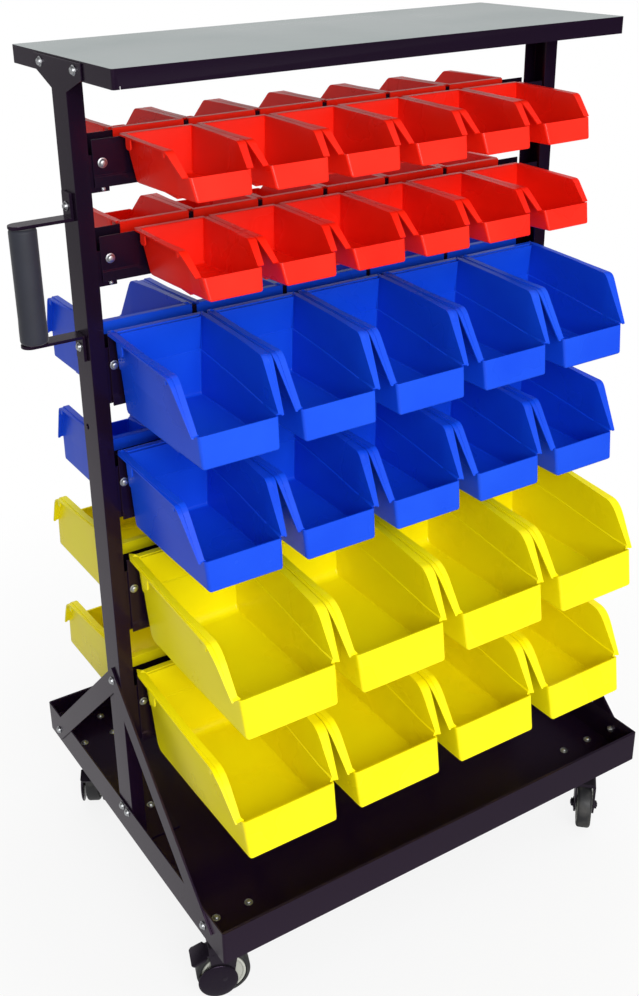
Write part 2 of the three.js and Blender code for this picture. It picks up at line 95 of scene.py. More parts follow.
# Small pieces of a caster, in millimetres
AXLE_PARTS = (  # name, radius, distance of the middle from the leg, length and number of sides
    ("axle_washer", 8.5, 0.5, 1.2, 32),
    ("axle_nut", 6.9, 2.6, 3.4, 6),
    ("axle_tip", 3.6, 4.2, 2.4, 24),
)
CHEEK_SHEET, CHEEK_PLACE = 2.2, 1.0
CHEEK_DOME = ((3.0, 1.3), (6.0, 1.1), (7.0, 0.5))  # insets and rises
RACE_GROOVES = (-1.6, -0.8, 0.8, 1.6)
RACE_WAIST, RACE_FOOT = 0.94, 0.82  # of the race's radius

# Small features of a bin
CREASE_SHARE = 0.45  # of a bin's reach, where its sides begin to narrow
TIP_RIM_SHARE = 0.85  # of the rim's width, left at its tip
RIM_SHARE = 0.45  # of the rim's width, inside its step
LEDGE_STEP = 1.2 * MM
HOOK_THICKNESS, HOOK_REACH, HOOK_INSET = 2.7 * MM, 6.3 * MM, 3 * MM
HOOK_LIP, HOOK_LIP_THICKNESS = 14 * MM, 2.2 * MM
FOOT_START_SHARE, FOOT_END_SHARE = 0.25, 0.66  # of a bin's reach
TAB_ROUND_SHARE = 0.35  # of the tab's shorter side
SHORT_TAB_SHARE = 0.45  # of the sizes of the tab at the back
SHORT_TAB_PLACE = 0.7  # of the length of the rim's bend

# Studio
BRIGHT_SIDE = (-0.62, 0.78, 0.0)  # where the room looks white in a mirror
FLOOR_MIRROR = 0.5  # how bright the floor near the cart looks in glossy paint
FRAME_WIDTH, FRAME_HEIGHT = 639.0, 996.0
CAMERA_PLACE = (-0.8827, -1.3686, 1.4196)
CAMERA_ANGLES = (-31.077, 24.042, -1.514)  # yaw, pitch and roll in degrees
CAMERA_FOCAL, CAMERA_CENTRE = 1225.1, (277.4, 428.9)  # in pixels of the photograph
SENSOR = 36.0


# Settings


def length(name, description, default):
    kind = {"unit": "LENGTH", "subtype": "DISTANCE"}
    return bpy.props.FloatProperty(
        name=name, description=description, default=default, min=0.0, **kind
    )


def colour(name, description, default):
    kind = {"size": 3, "min": 0.0, "max": 1.0, "subtype": "COLOR"}
    return bpy.props.FloatVectorProperty(
        name=name, description=description, default=default, **kind
    )


def level(name, description, default, unit="NONE"):
    return bpy.props.FloatProperty(
        name=name, description=description, default=default, min=0.0, unit=unit
    )


def sizes_group(label, text, table, column=0):
    """A group of length settings from a table of descriptions and millimetres."""
    fields = {
        name: length(name.replace("_", " ").capitalize(), about, values[column] * MM)
        for name, (about, *values) in table.items()
    }
    return type(label, (bpy.types.PropertyGroup,), {"__doc__": text, "__annotations__": fields})


# Sizes of a bin in millimetres, for the red, blue and yellow kinds. Reaches are measured outwards
# from the bin's back and drops down from the top of its hook.
BIN_SIZES = {
    "wall": ("Thickness of the walls", 2.0, 2.4, 2.6),
    "rim": ("Width of the rims along the sides", 6.0, 9.0, 10.0),
    "rim_step": ("Height of the step along the rims", 0.0, 1.3, 1.4),
    "draft": ("How much each side leans in at the floor", 7.0, 6.0, 7.0),
    "back_lean": ("How far the back leans forward at the floor", 11.0, 3.0, 10.0),
    "back_drop": ("Depth at the back", 58.0, 111.0, 131.0),
    "bend_reach": ("Reach where the rims turn down", 118.0, 161.0, 221.0),
    "bend_drop": ("Drop where the rims turn down", 2.0, 8.0, 20.0),
    "bend_round": ("Length of the bend's curve to each side of it", 4.0, 5.0, 13.0),
    "tip_reach": ("Reach of the rims' tips", 144.0, 198.0, 258.0),
    "tip_drop": ("Drop of the rims' tips", 27.0, 70.0, 78.0),
    "lip_reach": ("Reach of the front wall's top", 152.4, 202.0, 266.0),
    "lip_drop": ("Drop of the front wall's top", 27.5, 72.0, 78.0),
    "toe_reach": ("Reach of the front wall's foot", 160.0, 207.0, 276.0),
    "toe_drop": ("Drop of the front wall's foot", 55.0, 114.0, 134.0),
    "lip_width": ("Width of the front wall's top", 79.0, 108.7, 140.6),
    "toe_width": ("Width of the front wall's foot", 71.7, 106.0, 136.8),
    "ledge_drop": ("Drop of the moulded ledge at the back, none if zero", 0.0, 48.0, 50.0),
    "corner": ("Radius of the corners", 3.0, 4.0, 5.0),
    "heel": ("Radius of the lower back edge", 4.0, 7.0, 15.0),
    "tab_start": ("Distance of the tab under the rim from the back", 16.0, 26.0, 34.0),
    "tab_length": ("Length of the tab under the rim at the back", 13.0, 14.0, 17.0),
    "tab_depth": ("Depth of the tab under the rim at the back", 14.0, 16.0, 19.0),
    "foot": ("Depth of the stacking foot under the floor", 4.5, 5.0, 5.0),
    "bolt_drop": ("Drop of the bolts in the bins' rails", 28.0, 41.0, 46.0),
    "bolt_inset": ("Distance of those bolts from a rail's ends", 12.0, 5.6, 7.0),
}
BIN_GROUPS = {
    f"{kind}_bin": sizes_group(
        f"{kind.capitalize()}BinSizes", f"Sizes of a {kind} bin", BIN_SIZES, column
    )
    for column, kind in enumerate(BIN_COUNTS)
}
CasterSizes = sizes_group(
    "CasterSizes",
    "Sizes of the casters",
    {
        "wheel": ("Radius of the wheel", 38.0),
        "wheel_width": ("Width of the tread", 22.0),
        "shoulder": ("Radius of the tread's shoulders", 4.5),
        "cover": ("Radius of the wheel's side covers", 31.0),
        "hub": ("Radius of the hub", 12.5),
        "trail": ("Distance of the axle from the swivel axis", 30.0),
        "fork_width": ("Width over the fork's legs", 31.8),
        "fork_sheet": ("Thickness of the fork's sheet", 3.0),
        "fold": ("Radius of the folds beside the crown", 5.5),
        "leg_foot": ("Radius of the legs' feet round the axle", 14.5),
        "crown": ("Height of the crown's top", 92.0),
        "crown_depth": ("Depth of the legs' upper part", 12.0),
        "leg_start": ("Reach where the legs begin, from the swivel axis", 9.0),
        "crown_back": ("Reach of the crown behind the swivel axis", 21.0),
        "crown_front": ("Reach of the crown towards the wheel", 50.0),
        "plate": ("Height of the top plate's underside", 109.2),
        "race": ("Radius of the swivel race", 25.0),
        "cheek": ("Radius of the brake's cheeks", 28.0),
        "cheek_shift": ("Distance of the cheeks' middle beyond the axle", 9.0),
        "cheek_drop": ("Distance of the cheeks' middle below the axle", 6.0),
    },
)
FastenerSizes = sizes_group(
    "FastenerSizes",
    "Sizes and places of the bolts and nuts",
    {
        "bolt": ("Radius of a bolt's washer", 6.2),
        "small_bolt": ("Radius of a small bolt's washer", 2.6),
        "nut": ("Radius of a nut over its corners", 5.6),
        "sheet": ("Thickness of the frame's sheet", 2.0),
        "head_drop": ("Drop of the bolts under the shelf's ends", 11.0),
        "head_spread": ("Distance of those bolts from the middle", 50.0),
        "handle_bar": ("Thickness of the handle's bar", 4.0),
        "handle_foot": ("Distance of the handle's bolts from its feet's ends", 17.0),
        "joggle": ("Step at the foot of a rail's walls", 1.5),
        "small_drop": ("Drop of the small bolts below a red rail", 3.0),
        "brace": ("Thickness of a brace", 3.0),
        "brace_top": ("Height of the bolt that two braces share", 387.0),
        "brace_foot": ("Height of the bolts at the braces' feet", 140.0),
        "brace_spread": ("Distance of those bolts from the middle", 250.0),
        "foot_pair": ("Distance of the post's foot bolts from the middle", 9.0),
        "foot_drop": ("Drop of those bolts below the tray's edge", 10.0),
        "tab_reach": ("Distance of the bolts in the posts' foot tabs from the middle", 326.0),
        "tab_spread": ("Distance of those bolts across the cart", 27.0),
        "plate_spread": ("Distance of the casters' bolts from the swivel axis", 26.0),
    },
)


class CartColours(bpy.types.PropertyGroup):
    """Colours of the cart's finishes"""

    red: colour("Red", "Plastic of the small bins", (0.90, 0.017, 0.004))
    blue: colour("Blue", "Plastic of the middle bins", (0.005, 0.075, 0.72))
    yellow: colour("Yellow", "Plastic of the large bins", (0.94, 0.84, 0.002))
    paint: colour("Paint", "Gloss paint of the steel frame", (0.007, 0.003, 0.010))
    # The shelf's paler top is a painted reflection of the bright room.
    shelf: colour("Shelf top", "Paler top of the shelf, a painted reflection of the room", (0.28, 0.34, 0.33))
    foam: colour("Foam", "Foam tube of the push handle", (0.020, 0.022, 0.034))
    zinc: colour("Zinc", "Plating of bolts and rivets", (0.80, 0.82, 0.84))
    caster: colour("Caster", "Steel of the caster forks", (0.008, 0.006, 0.010))
    wheel: colour("Wheel", "Side covers of the wheels", (0.52, 0.53, 0.47))
    tread: colour("Tread", "Rubber of the wheels", (0.02, 0.02, 0.022))
    floor: colour("Floor", "Studio floor", (0.62, 0.62, 0.62))


class StudioLight(bpy.types.PropertyGroup):
    """Levels of the studio's light"""

    room: level("Room", "Light from all round", 1.0)
    key: level("Key", "Panel beside the camera, in watts", 108.0, "POWER")
    back: level("Back", "Panel behind the cart, in watts", 45.0, "POWER")


# Selecting and editing


def only(piece):
    """Select one piece and make it the active one."""
    bpy.ops.object.select_all(action="DESELECT")
    piece.hide_set(False)
    piece.select_set(True)
    bpy.context.view_layer.objects.active = piece


@contextmanager
def editing(piece):
    only(piece)
    bpy.ops.object.mode_set(mode="EDIT")
    yield
    bpy.ops.object.mode_set(mode="OBJECT")


def pick_all():
    bpy.ops.mesh.select_all(action="SELECT")


def pick(kind, test):
    """Select the mesh's vertices, edges or faces whose middle and direction pass a test.

    The direction is the normal of a vertex or face and the line of an edge.
    """
    bpy.ops.mesh.select_mode(type=kind)
    bpy.ops.mesh.select_all(action="DESELECT")
    data = bpy.context.edit_object.data
    mesh = bmesh.from_edit_mesh(data)
    if kind == "VERT":
        for vertex in mesh.verts:
            vertex.select_set(bool(test(vertex.co, vertex.normal)))
    elif kind == "EDGE":
        for edge in mesh.edges:
            first, second = (vertex.co for vertex in edge.verts)
            edge.select_set(bool(test((first + second) / 2, (second - first).normalized())))
    else:
        for face in mesh.faces:
            face.select_set(bool(test(face.calc_center_median(), face.normal)))
    mesh.select_flush_mode()
    bmesh.update_edit_mesh(data)


def near(value, target, within=MERGE):
    return abs(value - target) < within


def round_edges(test, width, segments):
    pick("EDGE", test)
    bpy.ops.mesh.bevel(offset=width, segments=segments, affect="EDGES")


def inset_steps(test, steps):
    """Inset the faces that pass a test, in turn by each thickness and depth."""
    pick("FACE", test)
    for thickness, depth in steps:
        bpy.ops.mesh.inset(thickness=thickness, depth=depth)


def resize_picked(x, y, middle=(0, 0, 0)):
    bpy.ops.transform.resize(value=(x, y, 1), center_override=middle)


def move_picked(x, y, z):
    bpy.ops.transform.translate(value=(x, y, z))


def slice_at(point, normal):
    pick_all()
    bpy.ops.mesh.bisect(plane_co=point, plane_no=normal)


def named_start(name):
    """The primitive just added, under its name and with its place in its mesh."""
    piece = bpy.context.active_object
    piece.name = piece.data.name = name
    only(piece)
    bpy.ops.object.transform_apply(location=True, rotation=True, scale=True)
    return piece


def new_box(name, low, high):
    bpy.ops.object.select_all(action="DESELECT")
    low, high = Vector(low), Vector(high)
    bpy.ops.mesh.primitive_cube_add(size=1, location=(low + high) / 2, scale=high - low)
    return named_start(name)


def round_bar(name, radius, middle, length_along, axis, sides):
    """A cylinder along Y or Z."""
    turns = {"Y": (math.pi / 2, 0, 0), "Z": (0, 0, 0)}
    shape = {"vertices": sides, "radius": radius, "depth": length_along}
    bpy.ops.object.select_all(action="DESELECT")
    bpy.ops.mesh.primitive_cylinder_add(location=middle, rotation=turns[axis], **shape)
    return named_start(name)


def modify(piece, kind, **values):
    only(piece)
    modifier = piece.modifiers.new(kind.title(), kind)
    for key, value in values.items():
        setattr(modifier, key, value)
    bpy.ops.object.modifier_apply(modifier=modifier.name)


def shade(piece, angle=30.0):
    only(piece)
    bpy.ops.object.shade_smooth_by_angle(angle=math.radians(angle))


def soften(piece, width, segments=2, angle=35.0):
    """Round every edge that is sharper than the angle, then shade the piece smooth."""
    limit = {"limit_method": "ANGLE", "angle_limit": math.radians(angle)}
    modify(piece, "BEVEL", width=width, segments=segments, use_clamp_overlap=True, **limit)
    shade(piece)


def flatten_shading(piece):
    """Keep the large faces of a softened piece flat in the light."""
    modify(piece, "WEIGHTED_NORMAL", keep_sharp=True, weight=50, mode="FACE_AREA")


def combine(piece, other, operation):
    """Add a shape to a piece or cut it out, and throw the shape away."""
    modify(piece, "BOOLEAN", operation=operation, solver="EXACT", object=other)
    discard(other)


def discard(piece):
    only(piece)
    bpy.ops.object.delete()


def join(pieces, name=None):
    """Join pieces into the first of them."""
    bpy.ops.object.select_all(action="DESELECT")
    for piece in pieces:
        piece.select_set(True)
    whole = bpy.context.view_layer.objects.active = pieces[0]
    bpy.ops.object.join()
    if name:
        whole.name = whole.data.name = name
    return whole


def copied(piece, name, matrix=None):
    """A copy with its own mesh, moved by the matrix."""
    twin = bpy.data.objects.new(name, piece.data.copy())
    bpy.context.scene.collection.objects.link(twin)
    twin.data.name = name
    if matrix:
        twin.data.transform(matrix)
    return twin


def merged_copy(source, name):
    """A copy of a node of the frame with its loose triangles merged into clean faces."""
    piece = copied(frame["nodes"][source], name)
    piece.data.materials.clear()
    with editing(piece):
        pick_all()
        bpy.ops.mesh.remove_doubles(threshold=MERGE)
        bpy.ops.mesh.dissolve_limited(angle_limit=math.radians(1.0))
        bpy.ops.mesh.normals_make_consistent(inside=False)
    return piece


def finish(piece, material, body, slot=None, *replaced):
    """Give a piece its finish, body and slot, and name the nodes that it stands for."""
    piece.data.materials.clear()
    piece.data.materials.append(finishes()[material])
    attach(piece, body)
    if replaced:
        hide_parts(*replaced)


def put(model, name, place, *finish_values):
    """A finished copy of a model at a place."""
    finish(copied(model, name, place), *finish_values)


# Building node trees

COLUMN, ROW = 220, 180


def feed(socket, value):
    """Set an input, or link an output to it and put its node to the right of that one's."""
    if isinstance(value, bpy.types.NodeSocket):
        socket.id_data.links.new(value, socket)
        place, before = socket.node.location, value.node.location
        place.x = max(place.x, before.x + COLUMN)
    else:
        socket.default_value = value


def node(tree, kind, *feeds, **values):
    """A new node. Feeds go to its inputs in order; values name its properties or inputs."""
    made = tree.nodes.new(kind)
    made.location.y = -ROW * len(tree.nodes)
    for socket, value in zip(made.inputs, feeds):
        feed(socket, value)
    for key, value in values.items():
        if key in made.bl_rna.properties:
            setattr(made, key, value)
        else:
            feed(made.inputs[key.replace("_", " ")], value)
    return made


def calc(tree, operation, first, second):
    return node(tree, "ShaderNodeMath", first, second, operation=operation).outputs[0]


def ramp(tree, source, low, high, from_low=0.0, from_high=1.0):
    """A value that runs from low to high as the source runs over its range."""
    made = node(tree, "ShaderNodeMapRange", source, from_low, from_high, low, high)
    return made.outputs["Result"]


def mixed(tree, factor, first, second):
    """A colour between two colours or sockets."""
    made = node(tree, "ShaderNodeMix", factor, data_type="RGBA")
    sockets = [socket for socket in made.inputs if socket.type == "RGBA"]
    for socket, value in zip(sockets, (first, second)):
        feed(socket, value if isinstance(value, bpy.types.NodeSocket) else (*value, 1.0))
    return next(socket for socket in made.outputs if socket.type == "RGBA")


def new_material(name):
    material = bpy.data.materials.new(name)
    material.use_nodes = True
    material.node_tree.nodes.clear()
    return material.node_tree


# Materials

SOFT_RANGE = (0.3, 0.7)  # where most of a soft noise lies
BIN_PLASTICS = {  # the colour of the paler edges (partly edge wear, partly a painted edge highlight), and what makes the deeper tone
    "red": ((0.95, 0.09, 0.05), (0.93, 0.6, 0.8)),
    "blue": ((0.07, 0.19, 0.80), (0.8, 0.75, 0.92)),
    "yellow": ((0.95, 0.90, 0.08), (0.98, 0.93, 0.8)),
}


def surface_marks_group():
    """Worn edges, soft blotches and fine speckle, from the shape and the object's coordinates."""
    name = "Wear and grain"
    if name in bpy.data.node_groups:
        return bpy.data.node_groups[name]
    tree = bpy.data.node_groups.new(name, "ShaderNodeTree")
    add = tree.interface.new_socket
    add(name="Vector", in_out="INPUT", socket_type="NodeSocketVector")
    inputs = {"Blotch Scale": 6.0, "Grain Scale": 900.0, "Edge Low": 0.52, "Edge High": 0.62}
    for label, default in inputs.items():
        add(name=label, in_out="INPUT", socket_type="NodeSocketFloat").default_value = default
    for label in ("Edges", "Blotches", "Grain"):
        add(name=label, in_out="OUTPUT", socket_type="NodeSocketFloat")
    given = node(tree, "NodeGroupInput").outputs
    pointed = node(tree, "ShaderNodeNewGeometry").outputs["Pointiness"]
    span = (given["Edge Low"], given["Edge High"])
    edges = node(tree, "ShaderNodeMapRange", pointed, *span).outputs["Result"]
    noises = [
        node(tree, "ShaderNodeTexNoise", given["Vector"], Scale=given[scale], **detail)
        for scale, detail in (
            ("Blotch Scale", {"Detail": 3.0, "Roughness": 0.55}),
            ("Grain Scale", {"Detail": 2.0, "Roughness": 0.6}),
        )
    ]
    node(tree, "NodeGroupOutput", edges, *(noise.outputs["Fac"] for noise in noises))
    return tree


def new_finish(name, scales, edges, roughness, grain, pores=None, **fixed):
    """A finish but for its colour: the tree, coordinates, wear outputs and colour input.

    Scales are those of blotches and grain, edges is the range of pointed edges, roughness its
    range over the blotches, and grain the bump's strength and depth. Pores take the grain's place.
    """
    tree = new_material(name)
    place = node(tree, "ShaderNodeTexCoord").outputs
    surface_marks = node(tree, "ShaderNodeGroup", node_tree=surface_marks_group())
    for socket, value in zip(surface_marks.inputs, (place["Object"], *scales, *edges)):
        feed(socket, value)
    rough, height = surface_marks.outputs["Blotches"], surface_marks.outputs["Grain"]
    if pores:
        rough = surface_marks.outputs["Grain"]
        holes = node(tree, "ShaderNodeTexVoronoi", place["Object"], Scale=pores, feature="F1")
        height = holes.outputs["Distance"]
    strength, depth = grain
    bump = node(tree, "ShaderNodeBump", Strength=strength, Distance=depth, Height=height)
    surface = node(
        tree,
        "ShaderNodeBsdfPrincipled",
        Roughness=ramp(tree, rough, *roughness, *SOFT_RANGE),
        Normal=bump.outputs["Normal"],
        **fixed,
    )
    node(tree, "ShaderNodeOutputMaterial", surface.outputs["BSDF"])
    return tree, place, surface_marks.outputs, surface.inputs["Base Color"]


def scaled(base, factor):
    return toned(base, factor, factor, factor)


def toned(base, *factors):
    return tuple(min(1.0, channel * factor) for channel, factor in zip(base, factors))


def moulded_plastic(name, base, edge, deep):
    """Semi-gloss moulded plastic: paler rubbed edges, faint flow marks, a fine moulded grain."""
    tree, _, surface_marks, surface_colour = new_finish(
        name, (7.0, 1400.0), (0.52, 0.62), (0.24, 0.34), (0.12, 0.00006), IOR=1.34
    )
    flow = ramp(tree, surface_marks["Blotches"], 0.0, 1.0, *SOFT_RANGE)
    # Paler edges: partly edge wear, partly a painted highlight along the edges.
    edge_share = ramp(tree, surface_marks["Edges"], 0.0, 0.10)
    feed(surface_colour, mixed(tree, edge_share, mixed(tree, flow, deep, base), edge))


def gloss_paint(name, base, top=None):
    """Black gloss paint on sheet steel: faint orange peel, greyer edges and maybe a pale top."""
    shine = {"IOR": 1.45, "Specular_Tint": (0.95, 0.65, 1.0, 1.0)}
    tree, place, surface_marks, surface_colour = new_finish(
        name, (4.0, 420.0), (0.53, 0.70), (0.16, 0.26), (0.10, 0.00012), **shine
    )
    tone = mixed(tree, surface_marks["Blotches"], toned(base, 1.25, 0.9, 1.2), base)
    # Upward faces turn paler: a painted reflection of the bright room on the shelf's top.
    if top:
        upward = node(tree, "ShaderNodeSeparateXYZ", place["Normal"]).outputs["Z"]
        pale = mixed(tree, surface_marks["Blotches"], scaled(top, 0.96), top)
        tone = mixed(tree, ramp(tree, upward, 0.0, 1.0, 0.7, 0.9), tone, pale)
    edge_share = ramp(tree, surface_marks["Edges"], 0.0, 0.05)
    feed(surface_colour, mixed(tree, edge_share, tone, (0.16, 0.15, 0.17)))


def satin_steel(name, base):
    """Dark glossy finish of the caster forks, with worn edges."""
    shine = {"IOR": 1.4, "Specular_Tint": (0.85, 0.6, 1.0, 1.0)}
    tree, _, surface_marks, surface_colour = new_finish(
        name, (20.0, 900.0), (0.52, 0.66), (0.16, 0.27), (0.15, 0.00008), **shine
    )
    edge_share = ramp(tree, surface_marks["Edges"], 0.0, 0.15)
    feed(surface_colour, mixed(tree, edge_share, base, (0.25, 0.24, 0.24)))


def zinc_plate(name, base):
    """Bright zinc plating with a soft brushed unevenness."""
    tree, _, surface_marks, surface_colour = new_finish(
        name, (160.0, 2200.0), (0.5, 0.7), (0.36, 0.5), (0.2, 0.00003), Metallic=1.0
    )
    feed(surface_colour, mixed(tree, surface_marks["Blotches"], scaled(base, 0.72), base))


def foam_rubber(name, base):
    """Matt foam tube: open pores and a slight bloom."""
    bloom = {"pores": 900.0, "Sheen_Weight": 0.25, "Sheen_Roughness": 0.4}
    tree, _, surface_marks, surface_colour = new_finish(
        name, (30.0, 1500.0), (0.5, 0.7), (0.55, 0.75), (0.35, 0.0003), **bloom
    )
    feed(surface_colour, mixed(tree, surface_marks["Blotches"], scaled(base, 0.75), scaled(base, 1.3)))


def hard_rubber(name, base):
    """Dark tread of a wheel, dusty where it has rolled."""
    tree, _, surface_marks, surface_colour = new_finish(
        name, (45.0, 700.0), (0.5, 0.62), (0.42, 0.65), (0.25, 0.0001)
    )
    dust = ramp(tree, surface_marks["Blotches"], 0.0, 0.5, 0.45, 0.75)
    feed(surface_colour, mixed(tree, dust, base, (0.11, 0.105, 0.095)))


def room_tone(tree, vector, reach):
    """How bright the room looks in a mirror: white behind and to the left, dark in front."""
    side = node(tree, "ShaderNodeVectorMath", vector, BRIGHT_SIDE, operation="DOT_PRODUCT")
    return ramp(tree, side.outputs["Value"], 0.10, 1.0, -reach, 0.25 * reach)


def studio_floor(name, base):
    """Pale floor that keeps the cart's shadow and runs out into the white background."""
    tree = new_material(name)
    place = node(tree, "ShaderNodeTexCoord").outputs["Object"]
    noise = node(tree, "ShaderNodeTexNoise", place, Scale=3.0).outputs["Fac"]
    matt = node(tree, "ShaderNodeBsdfDiffuse", mixed(tree, noise, scaled(base, 0.99), base))
    light = node(tree, "ShaderNodeLightPath").outputs
    reach = node(tree, "ShaderNodeVectorMath", place, operation="LENGTH").outputs["Value"]
    fade = ramp(tree, reach, 0.86, 1.0, 0.5, 1.3)
    seen = calc(tree, "MULTIPLY", fade, light["Is Camera Ray"])
    shown = calc(tree, "MAXIMUM", seen, light["Is Glossy Ray"])
    mirror = ramp(tree, reach, FLOOR_MIRROR, 0.5 * FLOOR_MIRROR, 1.0, 3.5)
    room = calc(tree, "MULTIPLY", room_tone(tree, place, 1.5), mirror)
    strength = calc(tree, "MAXIMUM", room, light["Is Camera Ray"])
    white = node(tree, "ShaderNodeEmission", Strength=strength)
    mix = node(tree, "ShaderNodeMixShader", shown, matt.outputs[0], white.outputs[0])
    node(tree, "ShaderNodeOutputMaterial", mix.outputs[0])


def plastic(kind):
    return kind.capitalize() + " moulded plastic"


def finishes():
    """Each finish by name, made once."""
    colours = bpy.context.scene.cart_colours
    base = {name: tuple(getattr(colours, name)) for name in CartColours.__annotations__}
    wheel = base["wheel"]
    makers = {
        plastic(kind): (moulded_plastic, base[kind], edge, toned(base[kind], *deep))
        for kind, (edge, deep) in BIN_PLASTICS.items()
    }
    makers |= {
        "Black gloss paint": (gloss_paint, base["paint"]),
        # The shelf's upward faces are painted paler: a painted reflection.
        "Shelf enamel": (gloss_paint, base["paint"], base["shelf"]),
        "Dark caster steel": (satin_steel, base["caster"]),
        "Zinc plating": (zinc_plate, base["zinc"]),
        "Grip foam": (foam_rubber, base["foam"]),
        # Paler edges: partly edge wear, partly a painted edge highlight.
        "Wheel cover plastic": (moulded_plastic, wheel, (0.6, 0.6, 0.55), scaled(wheel, 0.85)),
        "Wheel tread rubber": (hard_rubber, base["tread"]),
        "Studio floor": (studio_floor, base["floor"]),
    }
    for name, (make, *values) in makers.items():
        if name not in bpy.data.materials:
            make(name, *values)
    return {name: bpy.data.materials[name] for name in makers}


# Studio


class CART_OT_studio(bpy.types.Operator):
    """Floor, camera, light and background"""

    bl_idname = "cart.studio"
    bl_label = "Studio"

    def execute(self, context):
        levels = context.scene.studio_light
        bpy.ops.object.select_all(action="DESELECT")
        bpy.ops.mesh.primitive_circle_add(vertices=FINE_SIDES, radius=30.0, fill_type="NGON")
        floor = context.active_object
        floor.name = floor.data.name = "studio_floor"
        with editing(floor):
            inset_steps(lambda middle, normal: True, [(24.0, 0.0)])
        floor.data.materials.append(finishes()["Studio floor"])
        self.camera(context)
        self.panel_light("key_panel", (-0.8, -3.4, 2.2), 0.55, (2.4, 1.8), levels.key, True)
        self.panel_light("back_panel", (1.2, 3.2, 2.1), 0.7, (4.6, 2.2), levels.back, False)
        self.background(context, levels.room)
        context.scene.view_settings.view_transform = "Standard"
        return {"FINISHED"}

    def camera(self, context):
        """The photograph's viewpoint: level direction, then pitch and roll, with a small shift."""
        yaw, pitch, roll = (math.radians(angle) for angle in CAMERA_ANGLES)
        level_way = Vector((-math.sin(yaw), math.cos(yaw), 0.0))
        forward = level_way * math.cos(pitch) - Vector((0.0, 0.0, math.sin(pitch)))
        right = Vector((math.cos(yaw), math.sin(yaw), 0.0))
        up = right.cross(forward)
        turned_right = right * math.cos(roll) + up * math.sin(roll)
        turned_up = up * math.cos(roll) - right * math.sin(roll)
        bpy.ops.object.camera_add()
        camera = context.active_object
        camera.name = "photo_camera"
        turn = Matrix((turned_right, turned_up, -forward)).transposed()
        camera.matrix_world = Matrix.Translation(CAMERA_PLACE) @ turn.to_4x4()
        camera.data.sensor_fit = "HORIZONTAL"
        camera.data.sensor_width = SENSOR
        camera.data.lens = SENSOR * CAMERA_FOCAL / FRAME_WIDTH
        camera.data.shift_x = (FRAME_WIDTH / 2 - CAMERA_CENTRE[0]) / FRAME_WIDTH
        camera.data.shift_y = (CAMERA_CENTRE[1] - FRAME_HEIGHT / 2) / FRAME_WIDTH
        camera.data.clip_end = 200.0
        context.scene.camera = camera

    def panel_light(self, name, place, aim_height, size, watts, mirrored):
        """A panel that shines at the cart's middle."""
        bpy.ops.object.light_add(type="AREA", location=place)
        light = bpy.context.active_object
        light.name = name
        way = Vector((0.0, 0.0, aim_height)) - Vector(place)
        light.rotation_euler = way.to_track_quat("-Z", "Y").to_euler()
        light.data.shape = "RECTANGLE"
        light.data.size, light.data.size_y = size
        light.data.energy = watts
        light.visible_glossy = mirrored

    def background(self, context, room):
        """White to the camera, the room's tones in gloss, and less light from the left."""
        world = context.scene.world = bpy.data.worlds.new("Studio white")
        world.use_nodes = True
        tree = world.node_tree
        tree.nodes.clear()
        light = node(tree, "ShaderNodeLightPath").outputs
        way = node(tree, "ShaderNodeTexCoord").outputs["Generated"]
        part = node(tree, "ShaderNodeSeparateXYZ", way).outputs
        overhead = ramp(tree, part["Z"], 0.62, 0.10, 0.22, 0.5)
        walls = calc(tree, "MULTIPLY", room_tone(tree, way, 0.8), overhead)
        mirrored = calc(tree, "MULTIPLY", walls, light["Is Glossy Ray"])
        seen = calc(tree, "MAXIMUM", light["Is Camera Ray"], light["Is Transmission Ray"])
        clear = calc(tree, "MAXIMUM", seen, mirrored)
        lit = ramp(tree, part["X"], 0.35 * room, room, -0.9, 0.1)
        diffuse = calc(tree, "MULTIPLY", light["Is Diffuse Ray"], lit)
        strength = calc(tree, "MAXIMUM", clear, diffuse)
        shell = node(tree, "ShaderNodeBackground", (1.0, 1.0, 1.0, 1.0), strength)
        node(tree, "ShaderNodeOutputWorld", shell.outputs[0])


# Frame


class CART_OT_steel(bpy.types.Operator):
    """Shelf, tray, posts, rails, braces and handle bracket in painted sheet steel"""

    bl_idname = "cart.steel"
    bl_label = "Painted steel"

    def execute(self, context):
        names = ["top_shelf", "base_tray", "left_post", "right_post", "left_braces"]
        names += ["right_braces", "handle_bracket"] + [row + "_rail" for row, _, _ in ROWS]
        for name in names:
            piece = merged_copy(name, name + "_steel")
            if name in ("top_shelf", "base_tray"):
                self.round_pan(piece, *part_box(name))
            if name == "top_shelf":
                self.cut_slit(piece)
            soften(piece, STEEL_EDGE)
            flatten_shading(piece)
            # The shelf's paint is paler on top: a painted reflection.
            paint = "Shelf enamel" if name == "top_shelf" else "Black gloss paint"
            finish(piece, paint, "frame", "black_paint", name)
        return {"FINISHED"}

    def round_pan(self, piece, low, high):
        """Round the outer upright corners of a folded pan."""

        def at_corner(place, line):
            if abs(line.z) <= ALONG:
                return False
            ends = (place.x - low.x, high.x - place.x), (place.y - low.y, high.y - place.y)
            return all(min(pair) < 0.1 * MM for pair in ends)

        with editing(piece):
            round_edges(at_corner, PAN_CORNER, 4)

    def cut_slit(self, piece):
        """Cut the relief slit into the lower edge of the shelf's front skirt."""
        corner = Vector((shelf_low.x + SLIT_PLACE, shelf_low.y, shelf_low.z))
        reach = Vector((SLIT_WIDTH / 2, SLIT_HEIGHT, SLIT_HEIGHT))
        combine(piece, new_box("slit", corner - reach, corner + reach), "DIFFERENCE")


